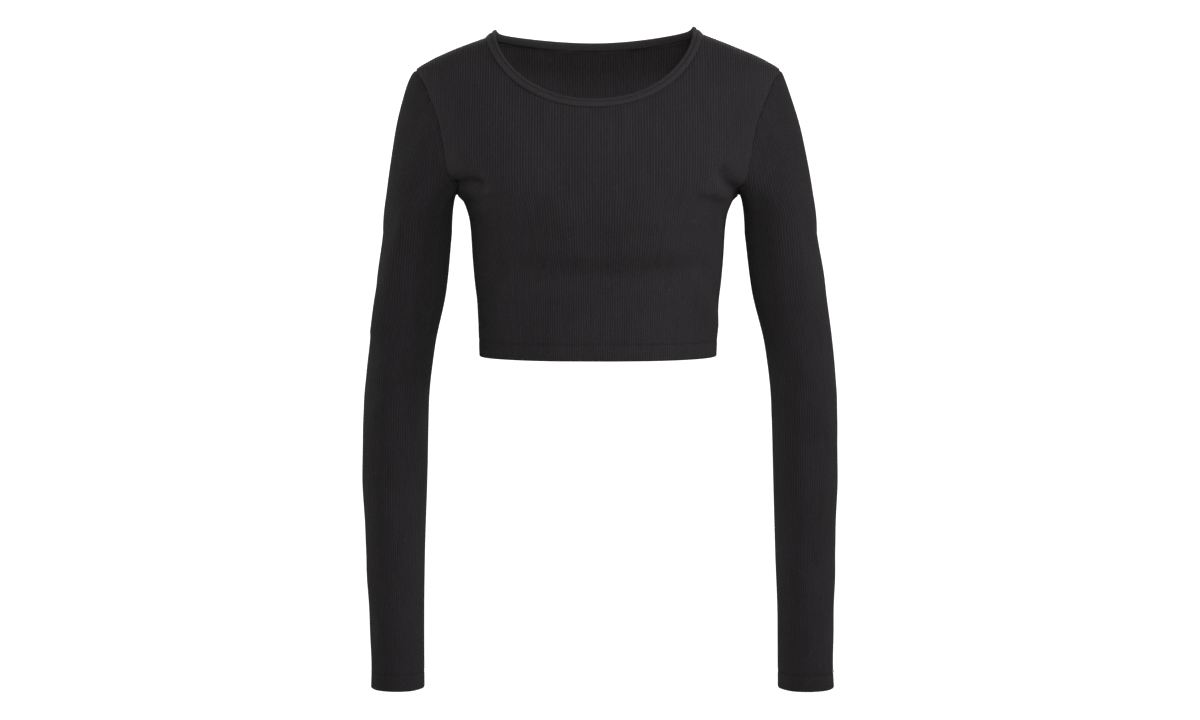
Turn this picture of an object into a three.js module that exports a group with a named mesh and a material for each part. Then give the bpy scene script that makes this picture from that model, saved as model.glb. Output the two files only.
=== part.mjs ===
// A long-sleeved crop top in fine rib knit, filled out as if it were worn, with nobody in it.
// Millimetres, +Z up. The front faces -Y and +X is the wearer's left.
// The origin is midway between the tops of the shoulders, where the wearer carries the garment.
import * as THREE from "three";

// Cloth and seams.
const CLOTH_WALL = 1.0;
const RIB_HEIGHT = 0.5;
const SEAM_GAP = 0.3;
const TURN_UP_DEPTH = 16;
const TURN_UP_WALL = 2.0;
const TURN_UP_STEP = 0.6;

// Ribs. A rib is two columns of points, one raised and one not. The plain inside has fewer columns.
const SIDE_COLUMN = 140;
const ARMHOLE_COLUMN = 105;
const NECK_COLUMN = 70;
const SLEEVE_COLUMNS = 168;
const COLUMNS_PER_INSIDE_COLUMN = 7;
const EXTRA_NECK_COLUMNS = [66, 68];
const SEAM_RIB_SHARE = 0.6;

// Fineness of the sums: points on a dense line, halvings of a search, step of a slope.
const DENSE = 400;
const HALVINGS = 40;
const SLOPE_STEP = 0.5;

// Body. Each horizontal section is a superellipse, a front half and a back half.
const BODY_POWER = 2.3;
const BODY = [
  { z: 1.6, halfWidth: 80, front: 42, back: 42 },
  { z: -4.4, halfWidth: 95, front: 47, back: 46 },
  { z: -10.4, halfWidth: 109, front: 50, back: 50 },
  { z: -18.4, halfWidth: 130, front: 52, back: 56 },
  { z: -26.4, halfWidth: 150, front: 55, back: 62 },
  { z: -34, halfWidth: 166, front: 59, back: 68 },
  { z: -44.4, halfWidth: 181, front: 64, back: 76 },
  { z: -56, halfWidth: 183, front: 70, back: 82 },
  { z: -80, halfWidth: 180, front: 82, back: 90 },
  { z: -110, halfWidth: 175, front: 96, back: 95 },
  { z: -130, halfWidth: 169, front: 104, back: 96 },
  { z: -150, halfWidth: 159, front: 111, back: 95 },
  { z: -162, halfWidth: 148, front: 114, back: 94 },
  { z: -167, halfWidth: 141, front: 115, back: 94 },
  { z: -171, halfWidth: 135, front: 116, back: 93 },
  { z: -176, halfWidth: 131.5, front: 116, back: 93 },
  { z: -188, halfWidth: 128, front: 115, back: 91 },
  { z: -204, halfWidth: 126, front: 110, back: 89 },
  { z: -228, halfWidth: 124.5, front: 101, back: 86 },
  { z: -252, halfWidth: 122.5, front: 96, back: 84 },
  { z: -276, halfWidth: 120, front: 94, back: 83 },
  { z: -300, halfWidth: 119, front: 93, back: 83 },
  { z: -327.5, halfWidth: 118, front: 92, back: 84 },
];
const FRONT = { name: "front_panel", depth: "front", sign: -1, hasBustRow: true };
const BACK = { name: "back_panel", depth: "back", sign: 1, hasBustRow: false };

// Heights of the body's main lines. The bust line rises towards the sides.
const HEM_Z = -327.5;
const UNDER_BUST_Z = -240;
const BUST_Z = -190;
const BUST_SIDE_RISE = 14;
const BUST_RISE_POWER = 4;
const CROSS_FRONT_Z = -122;
const SHOULDER_TIP_Z = -44.4;
const UNDERARM_Z = -167;

// Rows of a panel above the cross-front line, as shares of the way to its top edge.
const UPPER_ROWS = [0.45, 0.8, 0.94, 1];

// The row between bust and cross-front lines: its share of the body's own form, less towards the sides.
const UPPER_BUST_OUT = 0.7;
const UPPER_BUST_SIDE_POWER = 6;

// Distance of the armhole seam from the middle of the body.
const ARMHOLE = [
  { z: -44.4, x: 181 },
  { z: -56, x: 173.5 },
  { z: -70, x: 167.5 },
  { z: -92, x: 158.5 },
  { z: -122, x: 152 },
  { z: -142, x: 148 },
  { z: -154, x: 144.5 },
  { z: -163, x: 141.5 },
  { z: -167, x: 141 },
];
const ARMHOLE_PULL_POWER = 3;

// Neck edge of the two panels, where the binding starts.
const NECK_MIDDLE_X = -4;
const NECK_MIDDLE_Z = 12;
const NECK_HALF_WIDTH = 108;
const NECK_DEPTH = 92;
const NECK_POWER = 2.1;
const NECK_BACK_Z = -21;
const NECK_BACK_POWER = 1.9;
const NECK_EVEN_SHARE = 0.6;

// Binding: its section, seen along the neck edge. up runs towards the opening, out away from the body.
const BINDING_SECTION = [
  { up: 0.3, out: -1.3 },
  { up: 0.3, out: 0.9 },
  { up: 6.7, out: 0.9 },
  { up: 7.7, out: 0.3 },
  { up: 7.7, out: -0.7 },
  { up: 6.7, out: -1.3 },
];

// Sleeves. Sections are level superellipses below the upper arm.
const SLEEVE_POWER = 2.1;
const SLEEVE_TOP_Z = -205;
const CUFF_Z = -657;
const SLEEVE_ROWS = [-320, -440];
const CAP_ROWS = [1 / 3, 2 / 3];
const CAP_START_PULL = 0.4;
const CAP_END_PULL = 0.95;
const CAP_OUT_POWER = 4;
const LEFT_SLEEVE = {
  name: "left_sleeve",
  sign: -1,
  capOut: 4.8,
  sections: [
    { z: -205, inner: 146, outer: 214, middleY: 0, halfDepth: 44 },
    { z: -262, inner: 151.8, outer: 221, middleY: 3, halfDepth: 42 },
    { z: -320, inner: 163.8, outer: 228.5, middleY: 5, halfDepth: 40.5 },
    { z: -376, inner: 169.8, outer: 234, middleY: 3, halfDepth: 39 },
    { z: -440, inner: 171, outer: 235.2, middleY: -3, halfDepth: 37 },
    { z: -530, inner: 173.5, outer: 231, middleY: -14, halfDepth: 33.5 },
    { z: -590, inner: 174, outer: 227.4, middleY: -21, halfDepth: 31 },
    { z: -657, inner: 173.5, outer: 226, middleY: -29, halfDepth: 29 },
  ],
};
const RIGHT_SLEEVE = {
  name: "right_sleeve",
  sign: 1,
  capOut: 2.6,
  sections: [
    { z: -205, inner: 146.6, outer: 218, middleY: 0, halfDepth: 44 },
    { z: -262, inner: 154, outer: 227, middleY: 3, halfDepth: 42 },
    { z: -320, inner: 167.8, outer: 234.8, middleY: 5, halfDepth: 40.5 },
    { z: -376, inner: 174, outer: 239, middleY: 3, halfDepth: 39 },
    { z: -440, inner: 175.6, outer: 239.2, middleY: -3, halfDepth: 37 },
    { z: -530, inner: 177.8, outer: 236.6, middleY: -14, halfDepth: 34 },
    { z: -590, inner: 179.7, outer: 234.7, middleY: -21, halfDepth: 32 },
    { z: -657, inner: 179.8, outer: 235, middleY: -29, halfDepth: 30 },
  ],
};

// Largest folds of the panels, seen from the front: from one end to the other, a soft ridge or trough.
const PANEL_FOLDS = [
  { on: FRONT, x1: -72, z1: -236, x2: 90, z2: -236, reach: 15, height: -2.5 },
  { on: FRONT, x1: -86, z1: -238, x2: -112, z2: -282, reach: 9, height: 2.5 },
  { on: FRONT, x1: 94, z1: -246, x2: 116, z2: -296, reach: 10, height: 2.5 },
  { on: FRONT, x1: -134, z1: -150, x2: -112, z2: -182, reach: 13, height: -1.8 },
  { on: FRONT, x1: 132, z1: -152, x2: 112, z2: -180, reach: 13, height: -1.8 },
  { on: BACK, x1: -70, z1: -244, x2: 80, z2: -238, reach: 16, height: -3 },
  { on: BACK, x1: -140, z1: -128, x2: -98, z2: -186, reach: 13, height: 3 },
  { on: BACK, x1: 138, z1: -132, x2: 92, z2: -190, reach: 12, height: 3 },
];
const FOLD_FADE = 0.45;

// Colour and finish of the knit.
const KNIT_COLOUR = 0x1c1b1c;
const KNIT_ROUGHNESS = 0.95;

// Smooth reading of one column of a table whose rows run from the highest z to the lowest.
function read(table, column, z) {
  const last = table.length - 1;
  const at = Math.min(Math.max(z, table[last].z), table[0].z);
  let row = 0;
  while (row < last - 1 && at < table[row + 1].z) row += 1;
  const slope = (i) => (table[i + 1][column] - table[i][column]) / (table[i + 1].z - table[i].z);
  const tangent = (i) => {
    if (i === 0) return slope(0);
    if (i === last) return slope(last - 1);
    const before = slope(i - 1);
    const after = slope(i);
    return before * after <= 0 ? 0 : (2 * before * after) / (before + after);
  };
  const from = table[row];
  const span = table[row + 1].z - from.z;
  const t = (at - from.z) / span;
  return hermite(from[column], tangent(row) * span, table[row + 1][column], tangent(row + 1) * span, t);
}

function slopeOf(table, column, z) {
  const above = read(table, column, z + SLOPE_STEP);
  return (above - read(table, column, z - SLOPE_STEP)) / (2 * SLOPE_STEP);
}

function hermite(start, startPull, end, endPull, t) {
  const t2 = t * t;
  const t3 = t2 * t;
  return (2 * t3 - 3 * t2 + 1) * start + (t3 - 2 * t2 + t) * startPull
    + (3 * t2 - 2 * t3) * end + (t3 - t2) * endPull;
}

function mix(a, b, t) {
  return a + (b - a) * t;
}

// Height at which the shoulder line is as far out as x.
function shoulderZ(x) {
  let low = SHOULDER_TIP_Z;
  let high = BODY[0].z;
  for (let i = 0; i < HALVINGS; i += 1) {
    const middle = (low + high) / 2;
    if (read(BODY, "halfWidth", middle) > Math.abs(x)) low = middle;
    else high = middle;
  }
  return low;
}

function foldHeight(face, x, z) {
  let sum = 0;
  for (const fold of PANEL_FOLDS.filter((one) => one.on === face)) {
    const dx = fold.x2 - fold.x1;
    const dz = fold.z2 - fold.z1;
    const along = ((x - fold.x1) * dx + (z - fold.z1) * dz) / (dx * dx + dz * dz);
    const t = Math.min(Math.max(along, 0), 1);
    const away = Math.hypot(x - fold.x1 - t * dx, z - fold.z1 - t * dz);
    sum += fold.height * Math.exp(-((away / fold.reach) ** 2));
  }
  return sum;
}

// A place on the cloth of a panel: its point between the ribs, and the direction out of the cloth.
function panelPlace(face, x, z) {
  const halfWidth = read(BODY, "halfWidth", z);
  const depth = read(BODY, face.depth, z);
  const widthSlope = slopeOf(BODY, "halfWidth", z);
  const depthSlope = slopeOf(BODY, face.depth, z);
  const across = Math.min(Math.abs(x) / halfWidth, 1);
  const out = Math.pow(Math.max(1 - Math.pow(across, BODY_POWER), 0), 1 / BODY_POWER);
  const normal = new THREE.Vector3(
    (Math.sign(x) * Math.pow(across, BODY_POWER - 1)) / halfWidth,
    (face.sign * Math.pow(out, BODY_POWER - 1)) / depth,
    -(Math.pow(across, BODY_POWER) * widthSlope) / halfWidth
      - (Math.pow(out, BODY_POWER) * depthSlope) / depth,
  ).normalize();
  const point = new THREE.Vector3(x, face.sign * (SEAM_GAP / 2 + depth * out), z);
  point.addScaledVector(normal, foldHeight(face, x, z) * Math.min(1, out / FOLD_FADE));
  return { point, normal };
}

// Splits a dense line of places into equal steps, each with what pick makes of it.
function evenSteps(samples, steps, lengthBetween, pick) {
  const lengths = [0];
  for (let i = 1; i < samples.length; i += 1) {
    lengths.push(lengths[i - 1] + lengthBetween(samples[i - 1], samples[i]));
  }
  const result = [];
  let i = 0;
  for (let s = 0; s <= steps; s += 1) {
    const goal = (lengths[lengths.length - 1] * s) / steps;
    while (i < samples.length - 2 && lengths[i + 1] < goal) i += 1;
    const t = (goal - lengths[i]) / (lengths[i + 1] - lengths[i]);
    result.push(pick(samples[i], samples[i + 1], t));
  }
  return result;
}

// Distances from the middle of a panel that part a level line of its cloth into equal steps.
function evenAcross(face, z, endX, steps) {
  const samples = [];
  for (let i = 0; i <= DENSE; i += 1) samples.push(endX * Math.sin((Math.PI / 2) * (i / DENSE)));
  const points = new Map(samples.map((x) => [x, panelPlace(face, x, z).point]));
  return evenSteps(samples, steps, (a, b) => points.get(a).distanceTo(points.get(b)), mix);
}

// Places along the lower armhole, from the cross-front line down to the underarm point.
function lowerArmhole(face) {
  const samples = [];
  for (let i = 0; i <= DENSE; i += 1) {
    const z = mix(CROSS_FRONT_Z, UNDERARM_Z, Math.sin((Math.PI / 2) * (i / DENSE)));
    const x = read(ARMHOLE, "x", z);
    samples.push({ x, z, point: panelPlace(face, x, z).point });
  }
  const steps = SIDE_COLUMN - ARMHOLE_COLUMN;
  return evenSteps(samples, steps, (a, b) => a.point.distanceTo(b.point), (a, b, t) => ({
    x: mix(a.x, b.x, t),
    z: mix(a.z, b.z, t),
  }));
}

// The front neck edge at one angle from its lowest point: a superellipse seen from the front.
function neckFront(side, angle) {
  return {
    x: NECK_MIDDLE_X + side * NECK_HALF_WIDTH * Math.pow(Math.sin(angle), 2 / NECK_POWER),
    z: NECK_MIDDLE_Z - NECK_DEPTH * Math.pow(Math.cos(angle), 2 / NECK_POWER),
  };
}

// The angle at which the front neck edge meets the shoulder line.
function neckEndAngle(side) {
  let low = 0;
  let high = Math.PI / 2;
  for (let i = 0; i < HALVINGS; i += 1) {
    const middle = (low + high) / 2;
    const { x, z } = neckFront(side, middle);
    if (z < shoulderZ(x)) low = middle;
    else high = middle;
  }
  return low;
}
const NECK_END_ANGLE = { "-1": neckEndAngle(-1), 1: neckEndAngle(1) };

// Where a column of the panel ends at its top: on the neck edge or on the shoulder seam.
function topOfColumn(face, column) {
  const side = Math.sign(column) || 1;
  const endAngle = NECK_END_ANGLE[side];
  const end = neckFront(side, endAngle);
  if (Math.abs(column) >= NECK_COLUMN) {
    const t = (Math.abs(column) - NECK_COLUMN) / (ARMHOLE_COLUMN - NECK_COLUMN);
    const x = mix(end.x, side * ARMHOLE[0].x, t);
    return { x, z: shoulderZ(x) };
  }
  const share = Math.abs(column) / NECK_COLUMN;
  const endShare = Math.pow(Math.sin(endAngle), 2 / NECK_POWER);
  const upright = Math.asin(Math.pow(share * endShare, NECK_POWER / 2));
  const angle = mix(upright, endAngle * share, NECK_EVEN_SHARE);
  const place = neckFront(side, angle);
  if (face === FRONT) return place;
  const sideways = (place.x - NECK_MIDDLE_X) / (end.x - NECK_MIDDLE_X);
  return { x: place.x, z: mix(NECK_BACK_Z, shoulderZ(end.x), Math.pow(sideways, NECK_BACK_POWER)) };
}

function columnsBetween(from, to, step) {
  const list = [];
  for (let column = from; column <= to; column += step) list.push(column);
  return list;
}

// A row from side seam to side seam, with the columns in even steps at each column's height.
function evenRow(face, zOfColumn) {
  const row = new Map();
  const xs = new Map();
  for (const column of columnsBetween(-SIDE_COLUMN, SIDE_COLUMN, 1)) {
    const z = zOfColumn(column);
    if (!xs.has(z)) xs.set(z, evenAcross(face, z, read(BODY, "halfWidth", z), SIDE_COLUMN));
    const x = xs.get(z)[Math.abs(column)] * (Math.sign(column) || 1);
    row.set(column, panelPlace(face, x, z));
  }
  return row;
}

// All rows of places of a panel, from the hem up, each a map from column to place.
function panelRows(face) {
  const bustZ = (column) => {
    const side = Math.abs(column) / SIDE_COLUMN;
    return BUST_Z + BUST_SIDE_RISE * Math.pow(side, BUST_RISE_POWER);
  };
  const rows = [
    evenRow(face, () => HEM_Z),
    evenRow(face, () => UNDER_BUST_Z),
    evenRow(face, bustZ),
  ];
  const crossXs = evenAcross(face, CROSS_FRONT_Z, read(ARMHOLE, "x", CROSS_FRONT_Z), ARMHOLE_COLUMN);
  const armhole = lowerArmhole(face);
  const cross = new Map();
  for (const column of columnsBetween(-SIDE_COLUMN, SIDE_COLUMN, 1)) {
    const side = Math.sign(column) || 1;
    const size = Math.abs(column);
    if (size <= ARMHOLE_COLUMN) {
      cross.set(column, panelPlace(face, side * crossXs[size], CROSS_FRONT_Z));
    } else {
      const place = armhole[size - ARMHOLE_COLUMN];
      cross.set(column, panelPlace(face, side * place.x, place.z));
    }
  }
  if (face.hasBustRow) rows.push(upperBustRow(face, rows[rows.length - 1], cross));
  rows.push(cross);
  for (const t of UPPER_ROWS) {
    const row = new Map();
    const armholeZ = mix(CROSS_FRONT_Z, SHOULDER_TIP_Z, t);
    for (const column of columnsBetween(-ARMHOLE_COLUMN, ARMHOLE_COLUMN, 1)) {
      const side = Math.sign(column) || 1;
      const size = Math.abs(column);
      const top = topOfColumn(face, column);
      const straightX = mix(crossXs[ARMHOLE_COLUMN], ARMHOLE[0].x, t);
      const share = Math.pow(size / ARMHOLE_COLUMN, ARMHOLE_PULL_POWER);
      const pull = (read(ARMHOLE, "x", armholeZ) - straightX) * share;
      const x = mix(side * crossXs[size], top.x, t) + side * pull;
      row.set(column, panelPlace(face, x, mix(CROSS_FRONT_Z, top.z, t)));
    }
    rows.push(row);
  }
  straightenNeck(rows[rows.length - 1]);
  return rows;
}

// A row half way up from the bust, part of the way out from the straight line to the body's own form.
function upperBustRow(face, bust, cross) {
  const row = new Map();
  for (const [column, low] of bust) {
    const straight = between(low, cross.get(column), 0.5);
    const full = panelPlace(face, straight.point.x, straight.point.z);
    const side = Math.pow(Math.abs(column) / SIDE_COLUMN, UPPER_BUST_SIDE_POWER);
    row.set(column, between(straight, full, mix(UPPER_BUST_OUT, 0, side)));
  }
  return row;
}

// Lays the neck edge on straight steps between the inside's columns, where the binding is made from it.
function straightenNeck(row) {
  const columns = upperInsideColumns(NECK_COLUMN);
  for (let i = 0; i < columns.length - 1; i += 1) {
    const [from, to] = [columns[i], columns[i + 1]];
    for (let column = from + 1; column < to; column += 1) {
      row.set(column, between(row.get(from), row.get(to), (column - from) / (to - from)));
    }
  }
}

// Columns of the plain inside above the cross-front line, closer together where the neck meets the shoulder.
function upperInsideColumns(limit) {
  const columns = columnsBetween(-limit, limit, COLUMNS_PER_INSIDE_COLUMN);
  for (const column of EXTRA_NECK_COLUMNS) columns.push(column, -column);
  return columns.sort((a, b) => a - b);
}

// Collects the points and triangles of one closed wall.
class Wall {
  constructor() {
    this.points = [];
    this.normals = [];
    this.triangles = [];
  }

  add(place, out) {
    this.points.push(place.point.clone().addScaledVector(place.normal, out));
    this.normals.push(place.normal);
    return this.points.length - 1;
  }

  // How far out the middle of the line between two points lies.
  outness(a, b, direction) {
    return this.points[a].clone().add(this.points[b]).dot(direction) / 2;
  }

  // Fills the strip between two lines of points. Each line is a list of { id, at }, with at rising.
  // A four-sided cell is parted along the diagonal that lies further out, or further in where bulge is -1.
  strip(lower, upper, bulge = 0) {
    let i = 0;
    let j = 0;
    while (i < lower.length - 1 || j < upper.length - 1) {
      const a = lower[i];
      const b = lower[i + 1];
      const c = upper[j];
      const d = upper[j + 1];
      let advanceLower = !d || (b && a.at + b.at <= c.at + d.at);
      if (bulge !== 0 && b && d && a.at === c.at && b.at === d.at) {
        const direction = this.normals[a.id].clone().add(this.normals[d.id]);
        const rising = this.outness(b.id, c.id, direction);
        const falling = this.outness(a.id, d.id, direction);
        advanceLower = bulge * (rising - falling) >= 0;
      }
      if (advanceLower) {
        this.triangles.push([a.id, b.id, c.id]);
        i += 1;
      } else {
        this.triangles.push([a.id, d.id, c.id]);
        j += 1;
      }
    }
  }

  geometry() {
    let volume = 0;
    for (const [a, b, c] of this.triangles) {
      const cross = new THREE.Vector3().crossVectors(this.points[b], this.points[c]);
      volume += this.points[a].dot(cross);
    }
    const order = volume > 0 ? [0, 1, 2] : [0, 2, 1];
    const geometry = new THREE.BufferGeometry();
    geometry.setFromPoints(this.points);
    geometry.setIndex(this.triangles.flatMap((triangle) => order.map((i) => triangle[i])));
    geometry.computeVertexNormals();
    return geometry;
  }
}

function ribRaise(column) {
  return Math.abs(column) % 2 === 1 ? RIB_HEIGHT : 0;
}

// A place part of the way from one place to another.
function between(a, b, t) {
  return {
    point: a.point.clone().lerp(b.point, t),
    normal: a.normal.clone().lerp(b.normal, t).normalize(),
  };
}

function betweenRows(lower, upper, t) {
  const row = new Map();
  for (const [column, place] of lower) row.set(column, between(place, upper.get(column), t));
  return row;
}

// Builds a panel: ribs outside, a plain inside with a thicker turned-up hem, and rims all round.
function buildPanel(face) {
  const rows = panelRows(face);
  const wall = new Wall();
  const line = (row, columns, outOf) =>
    columns.map((column) => ({ id: wall.add(row.get(column), outOf(column)), at: column }));
  const all = (limit) => columnsBetween(-limit, limit, 1);
  const few = (limit) => columnsBetween(-limit, limit, COLUMNS_PER_INSIDE_COLUMN);
  const within = (points, from, to) => points.filter((point) => point.at >= from && point.at <= to);
  const crossRow = rows.length - 1 - UPPER_ROWS.length;
  const topRow = rows.length - 1;
  const seamRaise = (column) => ribRaise(column) * SEAM_RIB_SHARE;
  const outside = rows.map((row, i) =>
    line(row, all(i <= crossRow ? SIDE_COLUMN : ARMHOLE_COLUMN), i === topRow ? seamRaise : ribRaise));

  const turnShare = TURN_UP_DEPTH / (UNDER_BUST_Z - HEM_Z);
  const stepShare = (TURN_UP_DEPTH + TURN_UP_STEP) / (UNDER_BUST_Z - HEM_Z);
  const hemInside = [
    line(rows[0], few(SIDE_COLUMN), () => -TURN_UP_WALL),
    line(betweenRows(rows[0], rows[1], turnShare), few(SIDE_COLUMN), () => -TURN_UP_WALL),
    line(betweenRows(rows[0], rows[1], stepShare), few(SIDE_COLUMN), () => -CLOTH_WALL),
  ];
  const fewAndSides = [
    ...columnsBetween(-SIDE_COLUMN, -ARMHOLE_COLUMN - 1, 1),
    ...few(ARMHOLE_COLUMN),
    ...columnsBetween(ARMHOLE_COLUMN + 1, SIDE_COLUMN, 1),
  ];
  const bodyInside = rows.slice(1, crossRow).map((row, i) =>
    line(row, i > 0 ? fewAndSides : few(SIDE_COLUMN), () => -CLOTH_WALL));
  const crossInside = line(rows[crossRow], fewAndSides, () => -CLOTH_WALL);
  const highColumns = upperInsideColumns(ARMHOLE_COLUMN);
  const upperInside = rows.slice(crossRow + 1, -1).map((row) => line(row, highColumns, () => -CLOTH_WALL));
  const topInside = line(rows[topRow], highColumns, () => -CLOTH_WALL);
  const lowerInside = [...hemInside, ...bodyInside, crossInside];
  const crossMiddle = within(crossInside, -ARMHOLE_COLUMN, ARMHOLE_COLUMN);
  const highInside = [crossMiddle, ...upperInside, topInside];

  for (let i = 0; i < outside.length - 1; i += 1) {
    const lower = i < crossRow ? outside[i] : within(outside[i], -ARMHOLE_COLUMN, ARMHOLE_COLUMN);
    wall.strip(lower, outside[i + 1], 1);
  }
  for (let i = 0; i < lowerInside.length - 1; i += 1) wall.strip(lowerInside[i + 1], lowerInside[i], -1);
  for (let i = 0; i < highInside.length - 1; i += 1) wall.strip(highInside[i + 1], highInside[i], -1);

  wall.strip(lowerInside[0], outside[0]);
  wall.strip(outside[outside.length - 1], topInside);
  for (const side of [-1, 1]) {
    const from = side < 0 ? -SIDE_COLUMN : ARMHOLE_COLUMN;
    const to = side < 0 ? -ARMHOLE_COLUMN : SIDE_COLUMN;
    wall.strip(within(outside[crossRow], from, to), within(crossInside, from, to));
    const edge = (lines, column) => lines.map((points) => {
      const point = points.find((one) => one.at === side * column);
      return { id: point.id, at: wall.points[point.id].z };
    });
    const rims = [
      [edge(outside.slice(0, crossRow + 1), SIDE_COLUMN), edge(lowerInside, SIDE_COLUMN)],
      [edge(outside.slice(crossRow), ARMHOLE_COLUMN), edge(highInside, ARMHOLE_COLUMN)],
    ];
    for (const [outer, inner] of rims) {
      if (side > 0) wall.strip(inner, outer);
      else wall.strip(outer, inner);
    }
  }
  return { rows, crossRow, geometry: wall.geometry() };
}

// The armhole edge of a panel on one side, from the shoulder tip down to the underarm point.
function armholeEdge(panel, side) {
  const edge = [];
  for (let i = panel.rows.length - 1; i > panel.crossRow; i -= 1) {
    edge.push(panel.rows[i].get(side * ARMHOLE_COLUMN));
  }
  for (const column of columnsBetween(ARMHOLE_COLUMN, SIDE_COLUMN, 1)) {
    edge.push(panel.rows[panel.crossRow].get(side * column));
  }
  return edge;
}

// Points around a sleeve's section at one height, the outermost first, then round the front.
function sleeveRing(sleeve, z) {
  const value = (column) => read(sleeve.sections, column, z);
  const halfWidth = (value("outer") - value("inner")) / 2;
  const middleX = (value("outer") + value("inner")) / 2;
  const bend = (s) => Math.sign(s) * Math.pow(Math.abs(s), 2 / SLEEVE_POWER);
  const samples = [];
  for (let i = 0; i <= DENSE; i += 1) {
    const angle = (Math.PI * i) / DENSE;
    samples.push({
      across: bend(Math.cos(angle)) * halfWidth,
      forward: bend(Math.sin(angle)) * value("halfDepth"),
    });
  }
  const half = evenSteps(
    samples,
    SLEEVE_COLUMNS / 2,
    (a, b) => Math.hypot(a.across - b.across, a.forward - b.forward),
    (a, b, t) => ({ across: mix(a.across, b.across, t), forward: mix(a.forward, b.forward, t) }),
  );
  const ring = [];
  for (let column = 0; column < SLEEVE_COLUMNS; column += 1) {
    const front = column <= SLEEVE_COLUMNS / 2;
    const { across, forward } = half[front ? column : SLEEVE_COLUMNS - column];
    const y = value("middleY") + (front ? -forward : forward);
    const slopeX = (Math.sign(across) * Math.pow(Math.abs(across) / halfWidth, SLEEVE_POWER - 1)) / halfWidth;
    const slopeY = Math.pow(forward / value("halfDepth"), SLEEVE_POWER - 1) / value("halfDepth");
    ring.push({
      point: new THREE.Vector3(sleeve.sign * (middleX + across), y, z),
      normal: new THREE.Vector3(sleeve.sign * slopeX, front ? -slopeY : slopeY, 0).normalize(),
    });
  }
  return ring;
}

// The sleeve's first ring: the armhole edges of both panels, moved off by the seam's gap.
function armholeRing(sleeve, panels) {
  const halves = panels.map((panel) => {
    const edge = armholeEdge(panel, sleeve.sign);
    return evenSteps(edge, SLEEVE_COLUMNS / 2, (a, b) => a.point.distanceTo(b.point), between);
  });
  const ring = [];
  for (let column = 0; column < SLEEVE_COLUMNS; column += 1) {
    const half = SLEEVE_COLUMNS / 2;
    const place = column <= half ? halves[0][column] : halves[1][SLEEVE_COLUMNS - column];
    const copy = { point: place.point.clone(), normal: place.normal.clone() };
    if (column % half === 0) copy.point.y = 0;
    ring.push(copy);
  }
  return ring.map((place, column) => {
    const next = ring[(column + 1) % SLEEVE_COLUMNS].point;
    const before = ring[(column + SLEEVE_COLUMNS - 1) % SLEEVE_COLUMNS].point;
    const along = next.clone().sub(before).normalize();
    const away = new THREE.Vector3().crossVectors(along, place.normal).normalize();
    if (away.x * sleeve.sign < 0) away.negate();
    return { point: place.point.clone().addScaledVector(away, SEAM_GAP), normal: place.normal, away };
  });
}

// How far the cap swells outwards beside the shoulder tip: most a fifth of the way down.
function capSwell(sleeve, column, t) {
  const outermost = Math.max(Math.cos((2 * Math.PI * column) / SLEEVE_COLUMNS), 0) ** 2;
  const peak = 1 / (CAP_OUT_POWER + 1);
  const shape = (s) => s * (1 - s) ** CAP_OUT_POWER;
  return (sleeve.sign * sleeve.capOut * outermost * shape(t)) / shape(peak);
}

// Rings from the armhole over the cap of the sleeve to the level ring at the upper arm.
function capRings(sleeve, first, last) {
  return CAP_ROWS.map((t) => {
    const points = first.map((start, column) => {
      const end = last[column].point;
      const reach = start.point.distanceTo(end);
      const startPull = start.away.clone().multiplyScalar(CAP_START_PULL * reach);
      const endPull = new THREE.Vector3(0, 0, -CAP_END_PULL * reach);
      return new THREE.Vector3(
        hermite(start.point.x, startPull.x, end.x, endPull.x, t) + capSwell(sleeve, column, t),
        hermite(start.point.y, startPull.y, end.y, endPull.y, t),
        hermite(start.point.z, startPull.z, end.z, endPull.z, t),
      );
    });
    return points.map((point, column) => ({
      point,
      normal: first[column].normal.clone().lerp(last[column].normal, t).normalize(),
    }));
  });
}

function buildSleeve(sleeve, panels) {
  const wall = new Wall();
  const first = armholeRing(sleeve, panels);
  const top = sleeveRing(sleeve, SLEEVE_TOP_Z);
  const cap = capRings(sleeve, first, top);
  const cuff = sleeveRing(sleeve, CUFF_Z);
  const lowest = SLEEVE_ROWS[SLEEVE_ROWS.length - 1];
  const lowestRing = sleeveRing(sleeve, lowest);
  const atHeight = (z) => {
    const share = (z - CUFF_Z) / (lowest - CUFF_Z);
    return cuff.map((place, column) => between(place, lowestRing[column], share));
  };
  const closed = (ring, step, outOf) => {
    const points = [];
    for (let column = 0; column < SLEEVE_COLUMNS; column += step) {
      points.push({ id: wall.add(ring[column], outOf(column)), at: column });
    }
    return [...points, { id: points[0].id, at: SLEEVE_COLUMNS }];
  };
  const rings = [first, ...cap, top, ...SLEEVE_ROWS.map((z) => sleeveRing(sleeve, z))];
  const outside = [...rings, cuff].map((ring) => closed(ring, 1, ribRaise));
  const thin = () => -CLOTH_WALL;
  const thick = () => -TURN_UP_WALL;
  const inside = [
    closed(first, 1, thin),
    ...rings.slice(1).map((ring) => closed(ring, COLUMNS_PER_INSIDE_COLUMN, thin)),
    closed(atHeight(CUFF_Z + TURN_UP_DEPTH + TURN_UP_STEP), COLUMNS_PER_INSIDE_COLUMN, thin),
    closed(atHeight(CUFF_Z + TURN_UP_DEPTH), COLUMNS_PER_INSIDE_COLUMN, thick),
    closed(cuff, COLUMNS_PER_INSIDE_COLUMN, thick),
  ];
  for (let i = 0; i < outside.length - 1; i += 1) wall.strip(outside[i], outside[i + 1], 1);
  for (let i = 0; i < inside.length - 1; i += 1) wall.strip(inside[i + 1], inside[i], -1);
  wall.strip(inside[0], outside[0]);
  wall.strip(outside[outside.length - 1], inside[inside.length - 1]);
  return wall.geometry();
}

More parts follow.
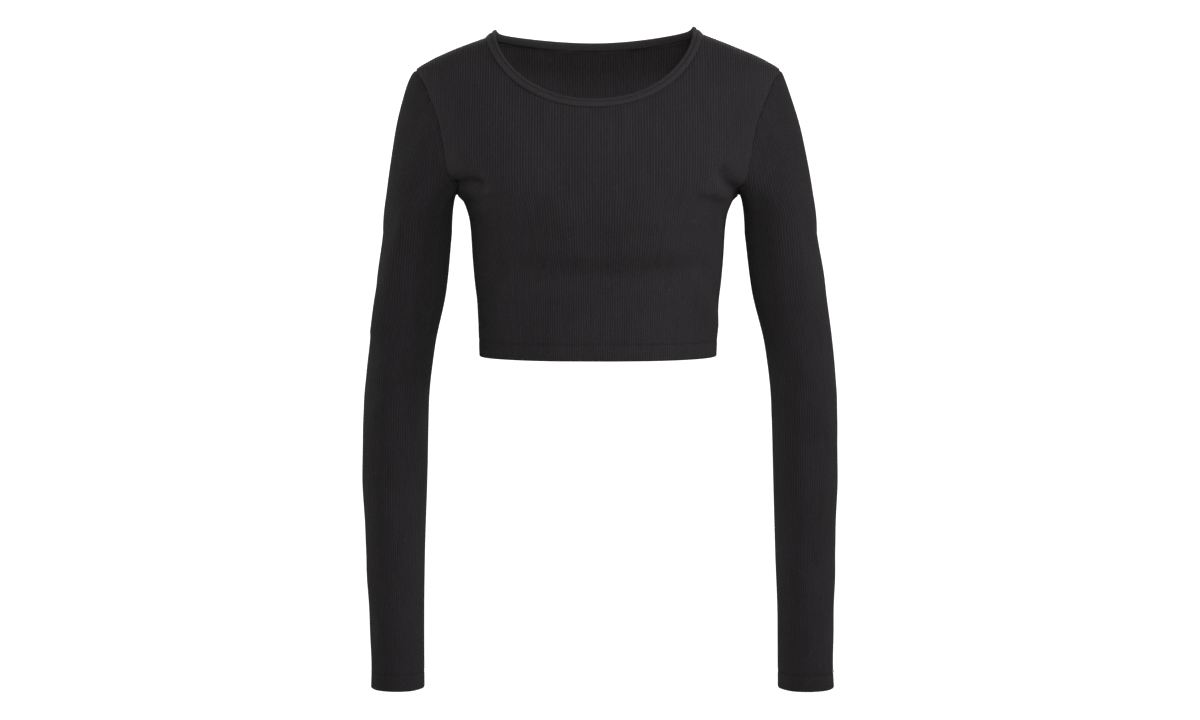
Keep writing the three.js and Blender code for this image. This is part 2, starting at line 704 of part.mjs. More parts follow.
// The neck edges of both panels as one loop, a place at each column of the inside.
function neckLoop(front, back) {
  const frontTop = front.rows[front.rows.length - 1];
  const backTop = back.rows[back.rows.length - 1];
  const columns = upperInsideColumns(NECK_COLUMN);
  const across = columns.map((column) => frontTop.get(column));
  const home = columns.slice(1, -1).map((column) => backTop.get(-column));
  return [...across, ...home];
}

function buildBinding(front, back) {
  const wall = new Wall();
  const loop = neckLoop(front, back);
  const middle = new THREE.Vector3(NECK_MIDDLE_X, 0, 0);
  const sections = loop.map((place, i) => {
    const ahead = loop[(i + 1) % loop.length].point.clone().sub(place.point).normalize();
    const behind = place.point.clone().sub(loop[(i + loop.length - 1) % loop.length].point).normalize();
    const along = ahead.add(behind).normalize();
    const up = new THREE.Vector3().crossVectors(along, place.normal).normalize();
    if (up.dot(middle.clone().sub(place.point)) < 0) up.negate();
    return BINDING_SECTION.map((corner) => {
      const point = place.point.clone().addScaledVector(up, corner.up);
      return wall.add({ point, normal: place.normal }, corner.out);
    });
  });
  const closed = (ids) => [...ids, ids[0]].map((id, at) => ({ id, at }));
  for (let i = 0; i < sections.length; i += 1) {
    wall.strip(closed(sections[i]), closed(sections[(i + 1) % sections.length]));
  }
  return wall.geometry();
}

function knitMesh(name, geometry) {
  const material = new THREE.MeshStandardMaterial({ color: KNIT_COLOUR, roughness: KNIT_ROUGHNESS });
  const mesh = new THREE.Mesh(geometry, material);
  mesh.name = name;
  return mesh;
}

const group = new THREE.Group();
const front = buildPanel(FRONT);
const back = buildPanel(BACK);
group.add(knitMesh(FRONT.name, front.geometry));
group.add(knitMesh(BACK.name, back.geometry));
for (const sleeve of [LEFT_SLEEVE, RIGHT_SLEEVE]) {
  group.add(knitMesh(sleeve.name, buildSleeve(sleeve, [front, back])));
}
group.add(knitMesh("neck_binding", buildBinding(front, back)));

export default group;
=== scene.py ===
"""A long-sleeved crop top in fine rib knit, filled out as if it were worn, with nobody in it.

Tables and shapes are in millimetres, +Z up, the front facing -Y and +X towards the wearer's left.
Meshes are written in metres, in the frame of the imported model.
"""
import math
from functools import reduce

import bpy
import numpy as np
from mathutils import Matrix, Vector


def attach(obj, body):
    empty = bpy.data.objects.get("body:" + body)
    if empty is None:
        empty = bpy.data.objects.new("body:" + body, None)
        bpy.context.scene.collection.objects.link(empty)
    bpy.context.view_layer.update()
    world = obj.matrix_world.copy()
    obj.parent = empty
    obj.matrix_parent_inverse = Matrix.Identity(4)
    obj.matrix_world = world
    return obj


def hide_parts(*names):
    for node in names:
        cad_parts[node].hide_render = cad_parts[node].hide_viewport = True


MM = 0.001
FAR = 1e9


def table(columns, *rows):
    """Rows of numbers, kept as one array for each named column."""
    return dict(zip(columns.split(), np.array(rows, float).T))


# Body: each level section is a superellipse, a front half and a back half.
BODY_POWER = 2.3
BODY = table(
    "z halfWidth front back",
    (1.6, 80, 42, 42),
    (-4.4, 95, 47, 46),
    (-10.4, 109, 50, 50),
    (-18.4, 130, 52, 56),
    (-26.4, 150, 55, 62),
    (-34, 166, 59, 68),
    (-44.4, 181, 64, 76),
    (-56, 183, 70, 82),
    (-80, 180, 82, 90),
    (-110, 175, 96, 95),
    (-130, 169, 104, 96),
    (-150, 159, 111, 95),
    (-162, 148, 114, 94),
    (-167, 141, 115, 94),
    (-171, 135, 116, 93),
    (-176, 131.5, 116, 93),
    (-188, 128, 115, 91),
    (-204, 126, 110, 89),
    (-228, 124.5, 101, 86),
    (-252, 122.5, 96, 84),
    (-276, 120, 94, 83),
    (-300, 119, 93, 83),
    (-327.5, 118, 92, 84),
)
ARMHOLE = table(
    "z x",
    (-44.4, 181),
    (-56, 173.5),
    (-70, 167.5),
    (-92, 158.5),
    (-122, 152),
    (-142, 148),
    (-154, 144.5),
    (-163, 141.5),
    (-167, 141),
)
HEM_Z = -327.5
CROSS_Z = -122
SHOULDER_TIP_Z = -44.4
UNDERARM_Z = -167
TURN_UP_DEPTH = 16
SEAM_GAP = 0.3

# Neck edge of the panels.
NECK_MIDDLE_X = -4
NECK_MIDDLE_Z = 12
NECK_HALF_WIDTH = 108
NECK_DEPTH = 92
NECK_POWER = 2.1
NECK_BACK_Z = -21
NECK_BACK_POWER = 1.9
NECK_SEARCH_START = 0.8
NECK_SEARCH_STEPS = 4000

# Sleeves: level superellipses below the upper arm, and a cap above it.
SLEEVE_POWER = 2.1
SLEEVE_TOP_Z = -205
CUFF_Z = -657
CAP_START_PULL = 0.4
CAP_END_PULL = 0.95
CAP_OUT_POWER = 4
CAP_OUT = {"left": 4.8, "right": 2.6}
SLEEVES = {
    "left": table(
        "z inner outer middleY halfDepth",
        (-205, 146, 214, 0, 44),
        (-262, 151.8, 221, 3, 42),
        (-320, 163.8, 228.5, 5, 40.5),
        (-376, 169.8, 234, 3, 39),
        (-440, 171, 235.2, -3, 37),
        (-530, 173.5, 231, -14, 33.5),
        (-590, 174, 227.4, -21, 31),
        (-657, 173.5, 226, -29, 29),
    ),
    "right": table(
        "z inner outer middleY halfDepth",
        (-205, 146.6, 218, 0, 44),
        (-262, 154, 227, 3, 42),
        (-320, 167.8, 234.8, 5, 40.5),
        (-376, 174, 239, 3, 39),
        (-440, 175.6, 239.2, -3, 37),
        (-530, 177.8, 236.6, -14, 34),
        (-590, 179.7, 234.7, -21, 32),
        (-657, 179.8, 235, -29, 30),
    ),
}

# Cloth: ribs outside, ribs between them inside.
COLUMNS_PER_RIB = 4
PANEL_RIBS = 74
SLEEVE_RIBS = 46
RIB_HEIGHT = 0.5
RIB_PROFILE = (0.0, 0.72, 1.0, 0.72)
INSIDE_DEPTH = 0.85
INSIDE_RIB = 0.35
TURN_UP_EXTRA = 1.0
EDGE_ROUND = 1.1
SEAM_DIP = 2.1
SEAM_REACH = 1.15
SEAM_OVERLAP = 0.8
TIP_DIP_SHARE = 0.25
TIP_DIP_START = 3
TIP_DIP_LENGTH = 14
RIB_FADE = 2.6
STITCH_DIP = 0.55
NECK_DITCH = 0.8
NECK_DITCH_PLACE = 2.4
NECK_DITCH_REACH = 1.3
NECK_RIB_SHARE = 0.3
NECK_RIB_REACH = 7
STITCH_REACH = 1.3


def folds(*rows):
    """Folds seen from the front: soft ridges or troughs between two ends, bent sideways by bend."""
    return table("x1 z1 x2 z2 bend reach height", *rows)


FRONT_FOLDS = folds(
    (-84, -242, 92, -241, -4, 13, -3.8),
    (-70, -220, 78, -220, -3, 11, 1.8),
    (-86, -240, -113, -284, 3, 8, 3.4),
    (-94, -236, -116, -294, -4, 6, -2.2),
    (94, -246, 116, -296, -3, 8, 3.0),
    (106, -238, 123, -280, -3, 6, -1.6),
    (-145, -161, -118, -157, 3, 8, -8.5),
    (-134, -178, -108, -181, -3, 7, 2.4),
    (-128, -140, -92, -146, 2, 8, 1.2),
    (146, -168, 122, -146, 4, 7, -7.5),
    (129, -176, 104, -162, -3, 6, 2.4),
    (136, -182, 118, -204, 3, 8, -1.6),
    (-60, -268, 28, -272, 6, 9, -0.8),
    (10, -258, 84, -262, -4, 7, 0.8),
    (-40, -296, 64, -300, 4, 10, 0.6),
    (-104, -206, -78, -214, 2, 9, -0.7),
    (84, -212, 110, -206, 2, 9, -0.7),
)
BACK_FOLDS = folds(
    (-70, -244, 80, -238, 6, 16, -3.0),
    (-140, -128, -98, -186, 4, 12, 3.0),
    (138, -132, 92, -190, -4, 11, 3.0),
    (-148, -146, -112, -196, 4, 6, -1.8),
    (146, -150, 108, -200, -4, 6, -1.8),
    (-96, -262, -30, -256, 4, 8, 1.4),
    (-20, -270, 92, -262, -4, 8, -1.6),
    (-84, -292, 60, -286, 5, 9, 1.1),
    (30, -250, 104, -244, 3, 6, 1.2),
    (-52, -70, 40, -66, -4, 14, -1.0),
    (-110, -210, -66, -222, 3, 8, -1.2),
    (70, -214, 112, -206, 3, 8, -1.2),
)
FACES = {
    "front": {"depth": "front", "sign": -1, "folds": FRONT_FOLDS},
    "back": {"depth": "back", "sign": 1, "folds": BACK_FOLDS},
}
FOLD_FADE = 0.45
SLEEVE_FOLDS = {
    ("left", "front"): folds(
        (-186, -178, -222, -302, -4, 8, 2.8),
        (-156, -176, -170, -280, 3, 12, -5.5),
        (-181, -330, -175, -440, -3, 6, 1.6),
        (-190, -344, -224, -362, 4, 7, -1.6),
        (-184, -392, -222, -404, 3, 8, -1.3),
        (-196, -372, -226, -380, -3, 5, 0.9),
        (-182, -470, -216, -480, 4, 8, -0.9),
        (-188, -560, -214, -566, 3, 7, -0.7),
        (-190, -612, -214, -616, -2, 6, 0.6),
    ),
    ("left", "back"): folds(
        (-162, -196, -214, -236, 5, 8, -2.0),
        (-172, -318, -226, -332, 5, 8, 1.6),
        (-176, -352, -228, -368, -5, 7, -2.0),
        (-178, -392, -226, -402, 4, 8, 1.5),
        (-182, -430, -222, -446, 4, 7, -1.4),
        (-184, -520, -218, -530, 3, 8, -0.9),
    ),
    ("right", "front"): folds(
        (160, -176, 174, -296, -4, 10, -3.0),
        (188, -172, 206, -290, 4, 10, 1.3),
        (180, -340, 184, -450, 4, 6, 1.2),
        (190, -352, 230, -368, -4, 7, -1.4),
        (186, -404, 226, -414, 3, 8, -1.2),
        (200, -384, 230, -392, 3, 5, 0.9),
        (186, -484, 224, -492, -4, 8, -0.9),
        (192, -574, 222, -582, 3, 7, -0.7),
    ),
    ("right", "back"): folds(
        (164, -192, 218, -230, -5, 8, -2.0),
        (174, -314, 228, -326, -5, 8, 1.5),
        (178, -346, 230, -360, 5, 7, -2.1),
        (180, -388, 230, -396, -4, 8, 1.6),
        (184, -438, 226, -450, -4, 7, -1.3),
        (188, -540, 222, -548, -3, 8, -0.9),
    ),
}

# Slow unevenness of the cloth: length of a wave across and up, its turn and its height.
WAVES = table(
    "across up phase height",
    (97, 143, 0.4, 0.35),
    (61, -118, 1.9, 0.28),
    (43, 71, 4.1, 0.18),
    (29, -52, 2.7, 0.10),
)

# Counts of points along lines and of rows and columns in the grids, and where some rows start.
DENSE = 400
SEAM_POINTS = 260
RIDGE_POINTS = 120
RING_POINTS = 160
CAP_ROWS = 90
LOOP_POINTS = 900
PANEL_LOWER_ROWS = 28
PANEL_MIDDLE_ROWS = 14
PANEL_UPPER_ROWS = 27
EXTRA_RIBS = 10
CAP_LEVELS = 35
SHOULDER_LEVELS = 8
ARM_LEVELS = 66
ABOVE_EDGE = 26
UNDERARM_STEP = 1.2
TIP_STEP = 0.05

# Where the seams can be near enough to matter, and how columns, folds and waves end there.
NEAR_SEAM_X = 95
NEAR_SEAM_Z = -200
NEAR_SLEEVE_SEAM = 10
BEYOND_ARMHOLE_PITCH = 0.8
SLEEVE_FOLD_SEAM_FADE = 12
SLEEVE_FOLD_FADE = 0.5
WAVE_SEAM_RIBS = 6


def hermite(start, start_pull, end, end_pull, t):
    t2, t3 = t * t, t * t * t
    return (
        (2 * t3 - 3 * t2 + 1) * start
        + (t3 - 2 * t2 + t) * start_pull
        + (3 * t2 - 2 * t3) * end
        + (t3 - t2) * end_pull
    )


def read(rows, column, z):
    """One column of a table at height z, smooth through its rows without passing beyond them."""
    heights, values = rows["z"], rows[column]
    slopes = np.diff(values) / np.diff(heights)
    before, after = slopes[:-1], slopes[1:]
    total = np.where(before + after == 0, 1, before + after)
    tangents = np.concatenate(
        [slopes[:1], np.where(before * after > 0, 2 * before * after / total, 0), slopes[-1:]]
    )
    at = np.clip(z, heights[-1], heights[0])
    row = np.clip(np.searchsorted(-heights, -at, side="right") - 1, 0, len(heights) - 2)
    span = heights[row + 1] - heights[row]
    t = (at - heights[row]) / span
    return hermite(values[row], tangents[row] * span, values[row + 1], tangents[row + 1] * span, t)


def mix(a, b, t):
    return a + (b - a) * t


def smooth(t):
    t = np.clip(t, 0, 1)
    return t * t * (3 - 2 * t)


def eased(count):
    """Numbers from 0 to 1, close together at both ends."""
    return (1 - np.cos(np.linspace(0, math.pi, count))) / 2


def closed(line):
    """A line of points with the first one again at its end."""
    return np.concatenate([line, line[:1]])


def unit(vectors):
    return vectors / np.maximum(np.linalg.norm(vectors, axis=-1, keepdims=True), 1e-9)


def shoulder_z(x):
    """Height at which the shoulder line is as far out as x."""
    heights = np.linspace(SHOULDER_TIP_Z, BODY["z"][0], DENSE)
    widths = read(BODY, "halfWidth", heights)
    return np.interp(-np.abs(x), -widths, heights)


def fold_height(rows, x, z):
    height = np.zeros_like(x)
    for i in range(len(rows["x1"])):
        x1, z1, x2, z2 = (rows[column][i] for column in ("x1", "z1", "x2", "z2"))
        bend, reach, peak = (rows[column][i] for column in ("bend", "reach", "height"))
        dx, dz = x2 - x1, z2 - z1
        length = math.hypot(dx, dz)
        t = np.clip(((x - x1) * dx + (z - z1) * dz) / length**2, 0, 1)
        sideways = bend * 4 * t * (1 - t) / length
        spine_x = x1 + t * dx - sideways * dz
        spine_z = z1 + t * dz + sideways * dx
        away = np.hypot(x - spine_x, z - spine_z)
        height += peak * np.exp(-((away / reach) ** 2))
    return height


def waves(across, up):
    height = np.zeros_like(across)
    for i in range(len(WAVES["across"])):
        turn = 2 * math.pi * (across / WAVES["across"][i] + up / WAVES["up"][i])
        height += WAVES["height"][i] * np.sin(turn + WAVES["phase"][i])
    return height


def panel_place(face, x, z, folded=True):
    """Points of a panel's cloth at x and z, and the directions out of the cloth."""
    sign = face["sign"]
    half_width = read(BODY, "halfWidth", z)
    depth = read(BODY, face["depth"], z)
    step = 0.5
    width_slope = (read(BODY, "halfWidth", z + step) - read(BODY, "halfWidth", z - step)) / (2 * step)
    depth_slope = (read(BODY, face["depth"], z + step) - read(BODY, face["depth"], z - step)) / (2 * step)
    across = np.minimum(np.abs(x) / half_width, 1)
    out = np.maximum(1 - across**BODY_POWER, 0) ** (1 / BODY_POWER)
    normal = unit(
        np.stack(
            [
                np.sign(x) * across ** (BODY_POWER - 1) / half_width,
                sign * out ** (BODY_POWER - 1) / depth,
                -(across**BODY_POWER) * width_slope / half_width - out**BODY_POWER * depth_slope / depth,
            ],
            axis=-1,
        )
    )
    point = np.stack([x, sign * (SEAM_GAP / 2 + depth * out), z * np.ones_like(x)], axis=-1)
    if folded:
        height = fold_height(face["folds"], x, z) + waves(x, z)
        point = point + normal * (height * np.minimum(1, out / FOLD_FADE))[..., None]
    return point, normal


def lengths_along(points):
    steps = np.linalg.norm(np.diff(points, axis=0), axis=-1)
    return np.concatenate([[0], np.cumsum(steps)])


def even_line(points, count):
    """A line of points parted into even steps."""
    lengths = lengths_along(points)
    goals = np.linspace(0, lengths[-1], count)
    return np.stack([np.interp(goals, lengths, points[:, i]) for i in range(points.shape[1])], axis=-1)


def distance_to(points, line):
    """Distance of each point from the nearest point of a line."""
    flat = points.reshape(-1, 3)
    best = np.full(len(flat), FAR)
    chunk = 4000
    for start in range(0, len(flat), chunk):
        part = flat[start : start + chunk]
        gaps = part[:, None, :] - line[None, :, :]
        best[start : start + chunk] = np.sqrt((gaps**2).sum(-1).min(1))
    return best.reshape(points.shape[:-1])


def neck_front(side, angle):
    x = NECK_MIDDLE_X + side * NECK_HALF_WIDTH * np.sin(angle) ** (2 / NECK_POWER)
    z = NECK_MIDDLE_Z - NECK_DEPTH * np.cos(angle) ** (2 / NECK_POWER)
    return x, z


def neck_end(side):
    """The x and z at which the front neck edge meets the shoulder line."""
    angles = np.linspace(NECK_SEARCH_START, math.pi / 2, NECK_SEARCH_STEPS)
    x, z = neck_front(side, angles)
    i = int(np.argmax(z >= shoulder_z(x)))
    return x[i], z[i]


NECK_ENDS = {-1: neck_end(-1), 1: neck_end(1)}


def neck_edge_z(face, x):
    """Height of a panel's neck edge at x, between the two shoulders."""
    side = np.where(x < NECK_MIDDLE_X, -1, 1)
    if face is FACES["front"]:
        share = np.minimum(np.abs(x - NECK_MIDDLE_X) / NECK_HALF_WIDTH, 1)
        return NECK_MIDDLE_Z - NECK_DEPTH * (1 - share**NECK_POWER) ** (1 / NECK_POWER)
    end_x = np.where(side < 0, NECK_ENDS[-1][0], NECK_ENDS[1][0])
    end_z = np.where(side < 0, NECK_ENDS[-1][1], NECK_ENDS[1][1])
    share = np.minimum(np.abs((x - NECK_MIDDLE_X) / (end_x - NECK_MIDDLE_X)), 1)
    return mix(NECK_BACK_Z, end_z, share**NECK_BACK_POWER)


def panel_top_z(face, x):
    inside = (x > NECK_ENDS[-1][0]) & (x < NECK_ENDS[1][0])
    return np.where(inside, neck_edge_z(face, x), shoulder_z(x))


def armhole_line(face, side, count=DENSE):
    """The armhole edge of a panel from the tip to the underarm, with the directions out of the cloth."""
    z = mix(SHOULDER_TIP_Z, UNDERARM_Z, eased(3 * DENSE))
    x = side * read(ARMHOLE, "x", z)
    point, normal = panel_place(face, x, z)
    both = even_line(np.concatenate([point, normal], axis=-1), count)
    return both[:, :3], unit(both[:, 3:])


def seam_dip(seam, z):
    """Depth of the ditch along a seam, shallow over the shoulders."""
    share = mix(TIP_DIP_SHARE, 1, smooth((SHOULDER_TIP_Z - z - TIP_DIP_START) / TIP_DIP_LENGTH))
    return SEAM_DIP * share * np.exp(-((seam / SEAM_REACH) ** 2))


def rib_raise(ribs):
    """How far up the side of a rib each column lies, from 0 in the groove to 1 on the crest."""
    phase = np.round(np.mod(ribs, 1) * COLUMNS_PER_RIB).astype(int) % COLUMNS_PER_RIB
    return np.array(RIB_PROFILE)[phase]


def rib_walls(ribs, flat):
    """Cloth outside and inside its middle surface, with the ribs of both faces. flat fades them out."""
    outer = RIB_HEIGHT * rib_raise(ribs)[None, :] * flat
    inner = INSIDE_DEPTH + INSIDE_RIB * rib_raise(ribs + 0.5)[None, :] * flat
    return outer, inner


class Grid:
    """Points of cloth with all that a shell needs. Where keep is below 0, the cells are cut away."""

    def __init__(self, points, normals, ribs, keep, outer, inner):
        self.points, self.normals, self.keep = points, normals, keep
        self.outer, self.inner = outer, inner
        courses = np.zeros(points.shape[:2])
        courses[1:] = np.cumsum(np.linalg.norm(np.diff(points, axis=0), axis=-1), axis=0)
        self.uv = np.stack([ribs, courses], axis=-1)


def clip_cells(grid, mask):
    """Cells of the grid, cut where keep passes 0, as the values at their corners and their polygons."""
    rows, columns = grid.keep.shape
    # The columns are the point, 0 to 2, its normal, 3 to 5, outer, 6, inner, 7, and the UV place, 8 and 9.
    values = np.concatenate(
        [grid.points, grid.normals, grid.outer[..., None], grid.inner[..., None], grid.uv], axis=-1
    ).reshape(rows * columns, -1)
    keep = grid.keep.ravel()
    index = np.arange(rows * columns).reshape(rows, columns)
    cells = np.stack([index[:-1, :-1], index[:-1, 1:], index[1:, 1:], index[1:, :-1]], axis=-1)
    cells = cells.reshape(-1, 4)[mask.ravel()]
    signs = keep[cells]
    whole = cells[(signs >= 0).all(1)]
    partial = cells[((signs > 0).any(1)) & ((signs < 0).any(1))]
    extra, made, polygons = [], {}, []

    def crossing(a, b):
        key = (min(a, b), max(a, b))
        if key not in made:
            t = keep[key[0]] / (keep[key[0]] - keep[key[1]])
            made[key] = len(values) + len(extra)
            extra.append(mix(values[key[0]], values[key[1]], t))
        return made[key]

    for cell in partial.tolist():
        polygon = []
        for a, b in zip(cell, cell[1:] + cell[:1]):
            if keep[a] >= 0:
                polygon.append(a)
            if (keep[a] > 0 > keep[b]) or (keep[a] < 0 < keep[b]):
                polygon.append(crossing(a, b))
        if len(polygon) >= 3:
            polygons.append(polygon)
    if extra:
        values = np.concatenate([values, np.array(extra)])
    return values, whole.tolist() + polygons


def make_shell(name, grid, mask, material):
    """A closed shell of cloth: outside, inside and a rim round every edge."""
    values, polygons = clip_cells(grid, mask)
    used, flat = np.unique(np.concatenate(polygons), return_inverse=True)
    values = values[used]
    sizes = [len(p) for p in polygons]
    ends = np.cumsum(sizes)
    _, first, weld = np.unique(np.round(values[:, :3], 4), axis=0, return_index=True, return_inverse=True)
    weld = weld.ravel()
    points, normals = values[first, :3], unit(values[first, 3:6])
    outer = points + normals * values[first, 6:7]
    inner = points - normals * values[first, 7:8]
    count = len(points)
    faces, corners = [], []
    for size, end in zip(sizes, ends):
        raw = flat[end - size : end]
        face = weld[raw].tolist()
        kept = [i for i in range(size) if face[i] != face[i - 1]]
        if len(kept) >= 3:
            faces.append([face[i] for i in kept])
            corners.append([int(raw[i]) for i in kept])
    a, b, c = (points[[f[k] for f in faces]] for k in (0, 1, 2))
    facing = (np.cross(b - a, c - a) * normals[[f[0] for f in faces]]).sum(-1)
    if np.median(np.sign(facing)) < 0:
        faces = [f[::-1] for f in faces]
        corners = [f[::-1] for f in corners]
    edges = {}
    for face, corner in zip(faces, corners):
        for i in range(len(face)):
            edges[(face[i - 1], face[i])] = (corner[i - 1], corner[i])
    rims, rim_corners = [], []
    for (p, q), (raw_p, raw_q) in edges.items():
        if (q, p) not in edges:
            rims.append([q, p, p + count, q + count])
            rim_corners.append([raw_q, raw_p, raw_p, raw_q])
    all_faces = faces + [[v + count for v in f[::-1]] for f in faces] + rims
    all_corners = corners + [f[::-1] for f in corners] + rim_corners
    piece = make_mesh(name, np.concatenate([outer, inner]), all_faces, material)
    layer = piece.data.uv_layers.new(name="UVMap")
    uv = values[np.concatenate(all_corners)][:, 8:10]
    outside_count = sum(len(f) for f in faces)
    # The inside faces get the moved UV map, so the material paints them paler: painted light.
    uv[outside_count : 2 * outside_count, 0] += WRONG_SIDE_SHIFT
    layer.data.foreach_set("uv", uv.astype(np.float32).ravel())
    return piece


def make_mesh(name, points, faces, material):
    mesh = bpy.data.meshes.new(name)
    mesh.from_pydata((np.asarray(points) * MM).tolist(), [], faces)
    mesh.polygons.foreach_set("use_smooth", np.ones(len(mesh.polygons), bool))
    mesh.materials.append(material)
    mesh.update()
    piece = bpy.data.objects.new(name, mesh)
    bpy.context.scene.collection.objects.link(piece)
    return piece


# Rows above a turned-up edge, close together round the edge and along the line of stitches.
EDGE_STEPS = np.array([0, 0.12, 0.4, 1.1, 3, 6.5, 10.5, 13.6, 14.8, 15.4, 16, 16.6, 17.2, 18.4, 21])
LAYER_END = 0.6
LAYER_END_WIDTH = 1.6
STITCH_INSIDE_SHARE = 0.4
EDGE_LEAST = 0.02


def edge_rows(edge_z):
    return edge_z + EDGE_STEPS


def turned_edge(z, edge_z, outer, inner):
    """Adds the second layer and the rounded edge of a turn-up, and the furrow of its stitches."""
    up = z - edge_z
    inner = inner + TURN_UP_EXTRA * (1 - smooth((up - TURN_UP_DEPTH - LAYER_END) / LAYER_END_WIDTH))
    furrow = STITCH_DIP * np.exp(-(((up - TURN_UP_DEPTH) / STITCH_REACH) ** 2))
    outer, inner = outer - furrow, inner - STITCH_INSIDE_SHARE * furrow
    middle = (outer - inner) / 2
    share = np.sqrt(np.clip(1 - (1 - up / EDGE_ROUND) ** 2, EDGE_LEAST, 1))
    share = np.where(up < EDGE_ROUND, share, 1)
    return middle + (outer - middle) * share, -(middle + (-inner - middle) * share)


def level_columns(face, levels, ribs):
    """Places of a panel's columns on its level rows, distances from the side seam, and the rib pitch."""
    xs = np.zeros((len(levels), len(ribs)))
    seam = np.full_like(xs, FAR)
    for i, z in enumerate(levels):
        dense_x = read(BODY, "halfWidth", z) * np.sin(np.linspace(0, math.pi / 2, DENSE))
        line, _ = panel_place(face, dense_x, np.full(DENSE, z), folded=False)
        lengths = lengths_along(line)
        if z <= UNDERARM_Z:
            pitch = lengths[-1] / PANEL_RIBS
            seam[i] = np.abs(lengths[-1] - np.abs(ribs) * pitch)
        xs[i] = np.interp(np.abs(ribs) * pitch, lengths, dense_x)
    return xs, seam, pitch


def spread_beyond_armhole(xs, levels, ribs, pitch):
    """Lets the columns beyond the armhole go on in even steps, and says which points the panel keeps."""
    keep = np.ones_like(xs)
    limit = read(ARMHOLE, "x", CROSS_Z)
    right = ribs >= 0
    last_rib = float(np.interp(limit, xs[-1][right], ribs[right]))
    beyond = np.abs(ribs) > last_rib
    straight = limit + (np.abs(ribs) - last_rib) * pitch * BEYOND_ARMHOLE_PITCH
    for i, z in enumerate(levels):
        if z > UNDERARM_Z:
            share = smooth((z - UNDERARM_Z) / (CROSS_Z - UNDERARM_Z))
            xs[i] = np.where(beyond, mix(xs[i], straight, share), xs[i])
            keep[i] = read(ARMHOLE, "x", z) - xs[i]
    return keep


def measure_upper_seams(face, x, z, points, seam):
    """Shortens the distances from a seam where an armhole or a shoulder seam is nearer."""
    near = (np.abs(x) > NEAR_SEAM_X) & (z > NEAR_SEAM_Z)
    for one in (-1, 1):
        line, _ = armhole_line(face, one, SEAM_POINTS)
        chosen = near & (np.sign(x) == one)
        seam[chosen] = np.minimum(seam[chosen], distance_to(points[chosen], line))
        ridge_x = one * np.linspace(abs(NECK_ENDS[one][0]), ARMHOLE["x"][0], RIDGE_POINTS)
        ridge, _ = panel_place(face, ridge_x, shoulder_z(ridge_x), folded=False)
        seam[chosen] = np.minimum(seam[chosen], distance_to(points[chosen], ridge))


def panel_grid(face):
    """A panel's grid: level rows up to the cross line, then rows that end on the neck and shoulder edges."""
    plain = np.linspace(HEM_Z + ABOVE_EDGE, UNDERARM_Z - UNDERARM_STEP, PANEL_LOWER_ROWS)
    quarter = np.linspace(0, math.pi / 2, PANEL_MIDDLE_ROWS + 1)
    levels = np.concatenate([edge_rows(HEM_Z), plain, mix(UNDERARM_Z, CROSS_Z, 1 - np.cos(quarter))])
    last_column = (PANEL_RIBS + EXTRA_RIBS) * COLUMNS_PER_RIB
    ribs = np.arange(-last_column, last_column + 1) / COLUMNS_PER_RIB
    side = np.sign(ribs)
    xs, seam, pitch = level_columns(face, levels, ribs)
    keep = spread_beyond_armhole(xs, levels, ribs, pitch)

    top_x = side * xs[-1]
    top_z = panel_top_z(face, top_x)
    t = np.sin(np.linspace(0, math.pi / 2, PANEL_UPPER_ROWS + 1))[1:, None]
    upper_z = mix(CROSS_Z, top_z[None, :], t)
    upper_x = np.repeat(xs[-1:], PANEL_UPPER_ROWS, axis=0)
    upper_keep = read(ARMHOLE, "x", upper_z) - upper_x
    upper_keep[:, np.abs(top_x) > ARMHOLE["x"][0]] = -1
    x = np.concatenate([xs, upper_x]) * side[None, :]
    z = np.concatenate([np.repeat(levels[:, None], len(ribs), axis=1), upper_z])
    keep = np.concatenate([keep, upper_keep])
    seam = np.concatenate([seam, np.full_like(upper_x, FAR)])
    mask = np.ones((len(x) - 1, x.shape[1] - 1), bool)
    cell_ribs = np.maximum(np.abs(ribs[:-1]), np.abs(ribs[1:]))
    below = z[1:, :1].repeat(mask.shape[1], 1) <= UNDERARM_Z
    mask[below & (cell_ribs[None, :] > PANEL_RIBS)] = False

    half_width = read(BODY, "halfWidth", z)
    points, normals = panel_place(face, np.clip(x, -half_width, half_width), z)
    measure_upper_seams(face, x, z, points, seam)
    points = points - normals * seam_dip(seam, z)[..., None]
    neck_gap = np.abs(top_z[None, :] - z)
    in_neck = (x > NECK_ENDS[-1][0]) & (x < NECK_ENDS[1][0])
    ditch = NECK_DITCH * np.exp(-(((neck_gap - NECK_DITCH_PLACE) / NECK_DITCH_REACH) ** 2)) * in_neck
    points = points - normals * ditch[..., None]
    neck_flat = mix(NECK_RIB_SHARE, 1, smooth(neck_gap / NECK_RIB_REACH))
    flat = np.where(in_neck, neck_flat, 1) * smooth(seam / RIB_FADE)
    outer, inner = turned_edge(z, HEM_Z, *rib_walls(ribs, flat))
    return Grid(points, normals, np.broadcast_to(ribs, x.shape), keep, outer, inner), mask


def sleeve_half_ring(sleeve, sign, half, z, count):
    """Half of a level ring of a sleeve, from its outermost point to its innermost, and where it lies."""
    value = {column: read(sleeve, column, z) for column in ("inner", "outer", "middleY", "halfDepth")}
    half_width = (value["outer"] - value["inner"]) / 2
    middle_x = (value["outer"] + value["inner"]) / 2
    angle = np.linspace(0, math.pi, count)
    cosine, sine = np.cos(angle), np.sin(angle)
    across = np.sign(cosine) * np.abs(cosine) ** (2 / SLEEVE_POWER) * half_width
    forward = np.abs(sine) ** (2 / SLEEVE_POWER) * value["halfDepth"]
    y = value["middleY"] + half * forward
    points = np.stack([sign * (middle_x + across), y, np.full(count, z)], axis=-1)
    return even_line(points, count)


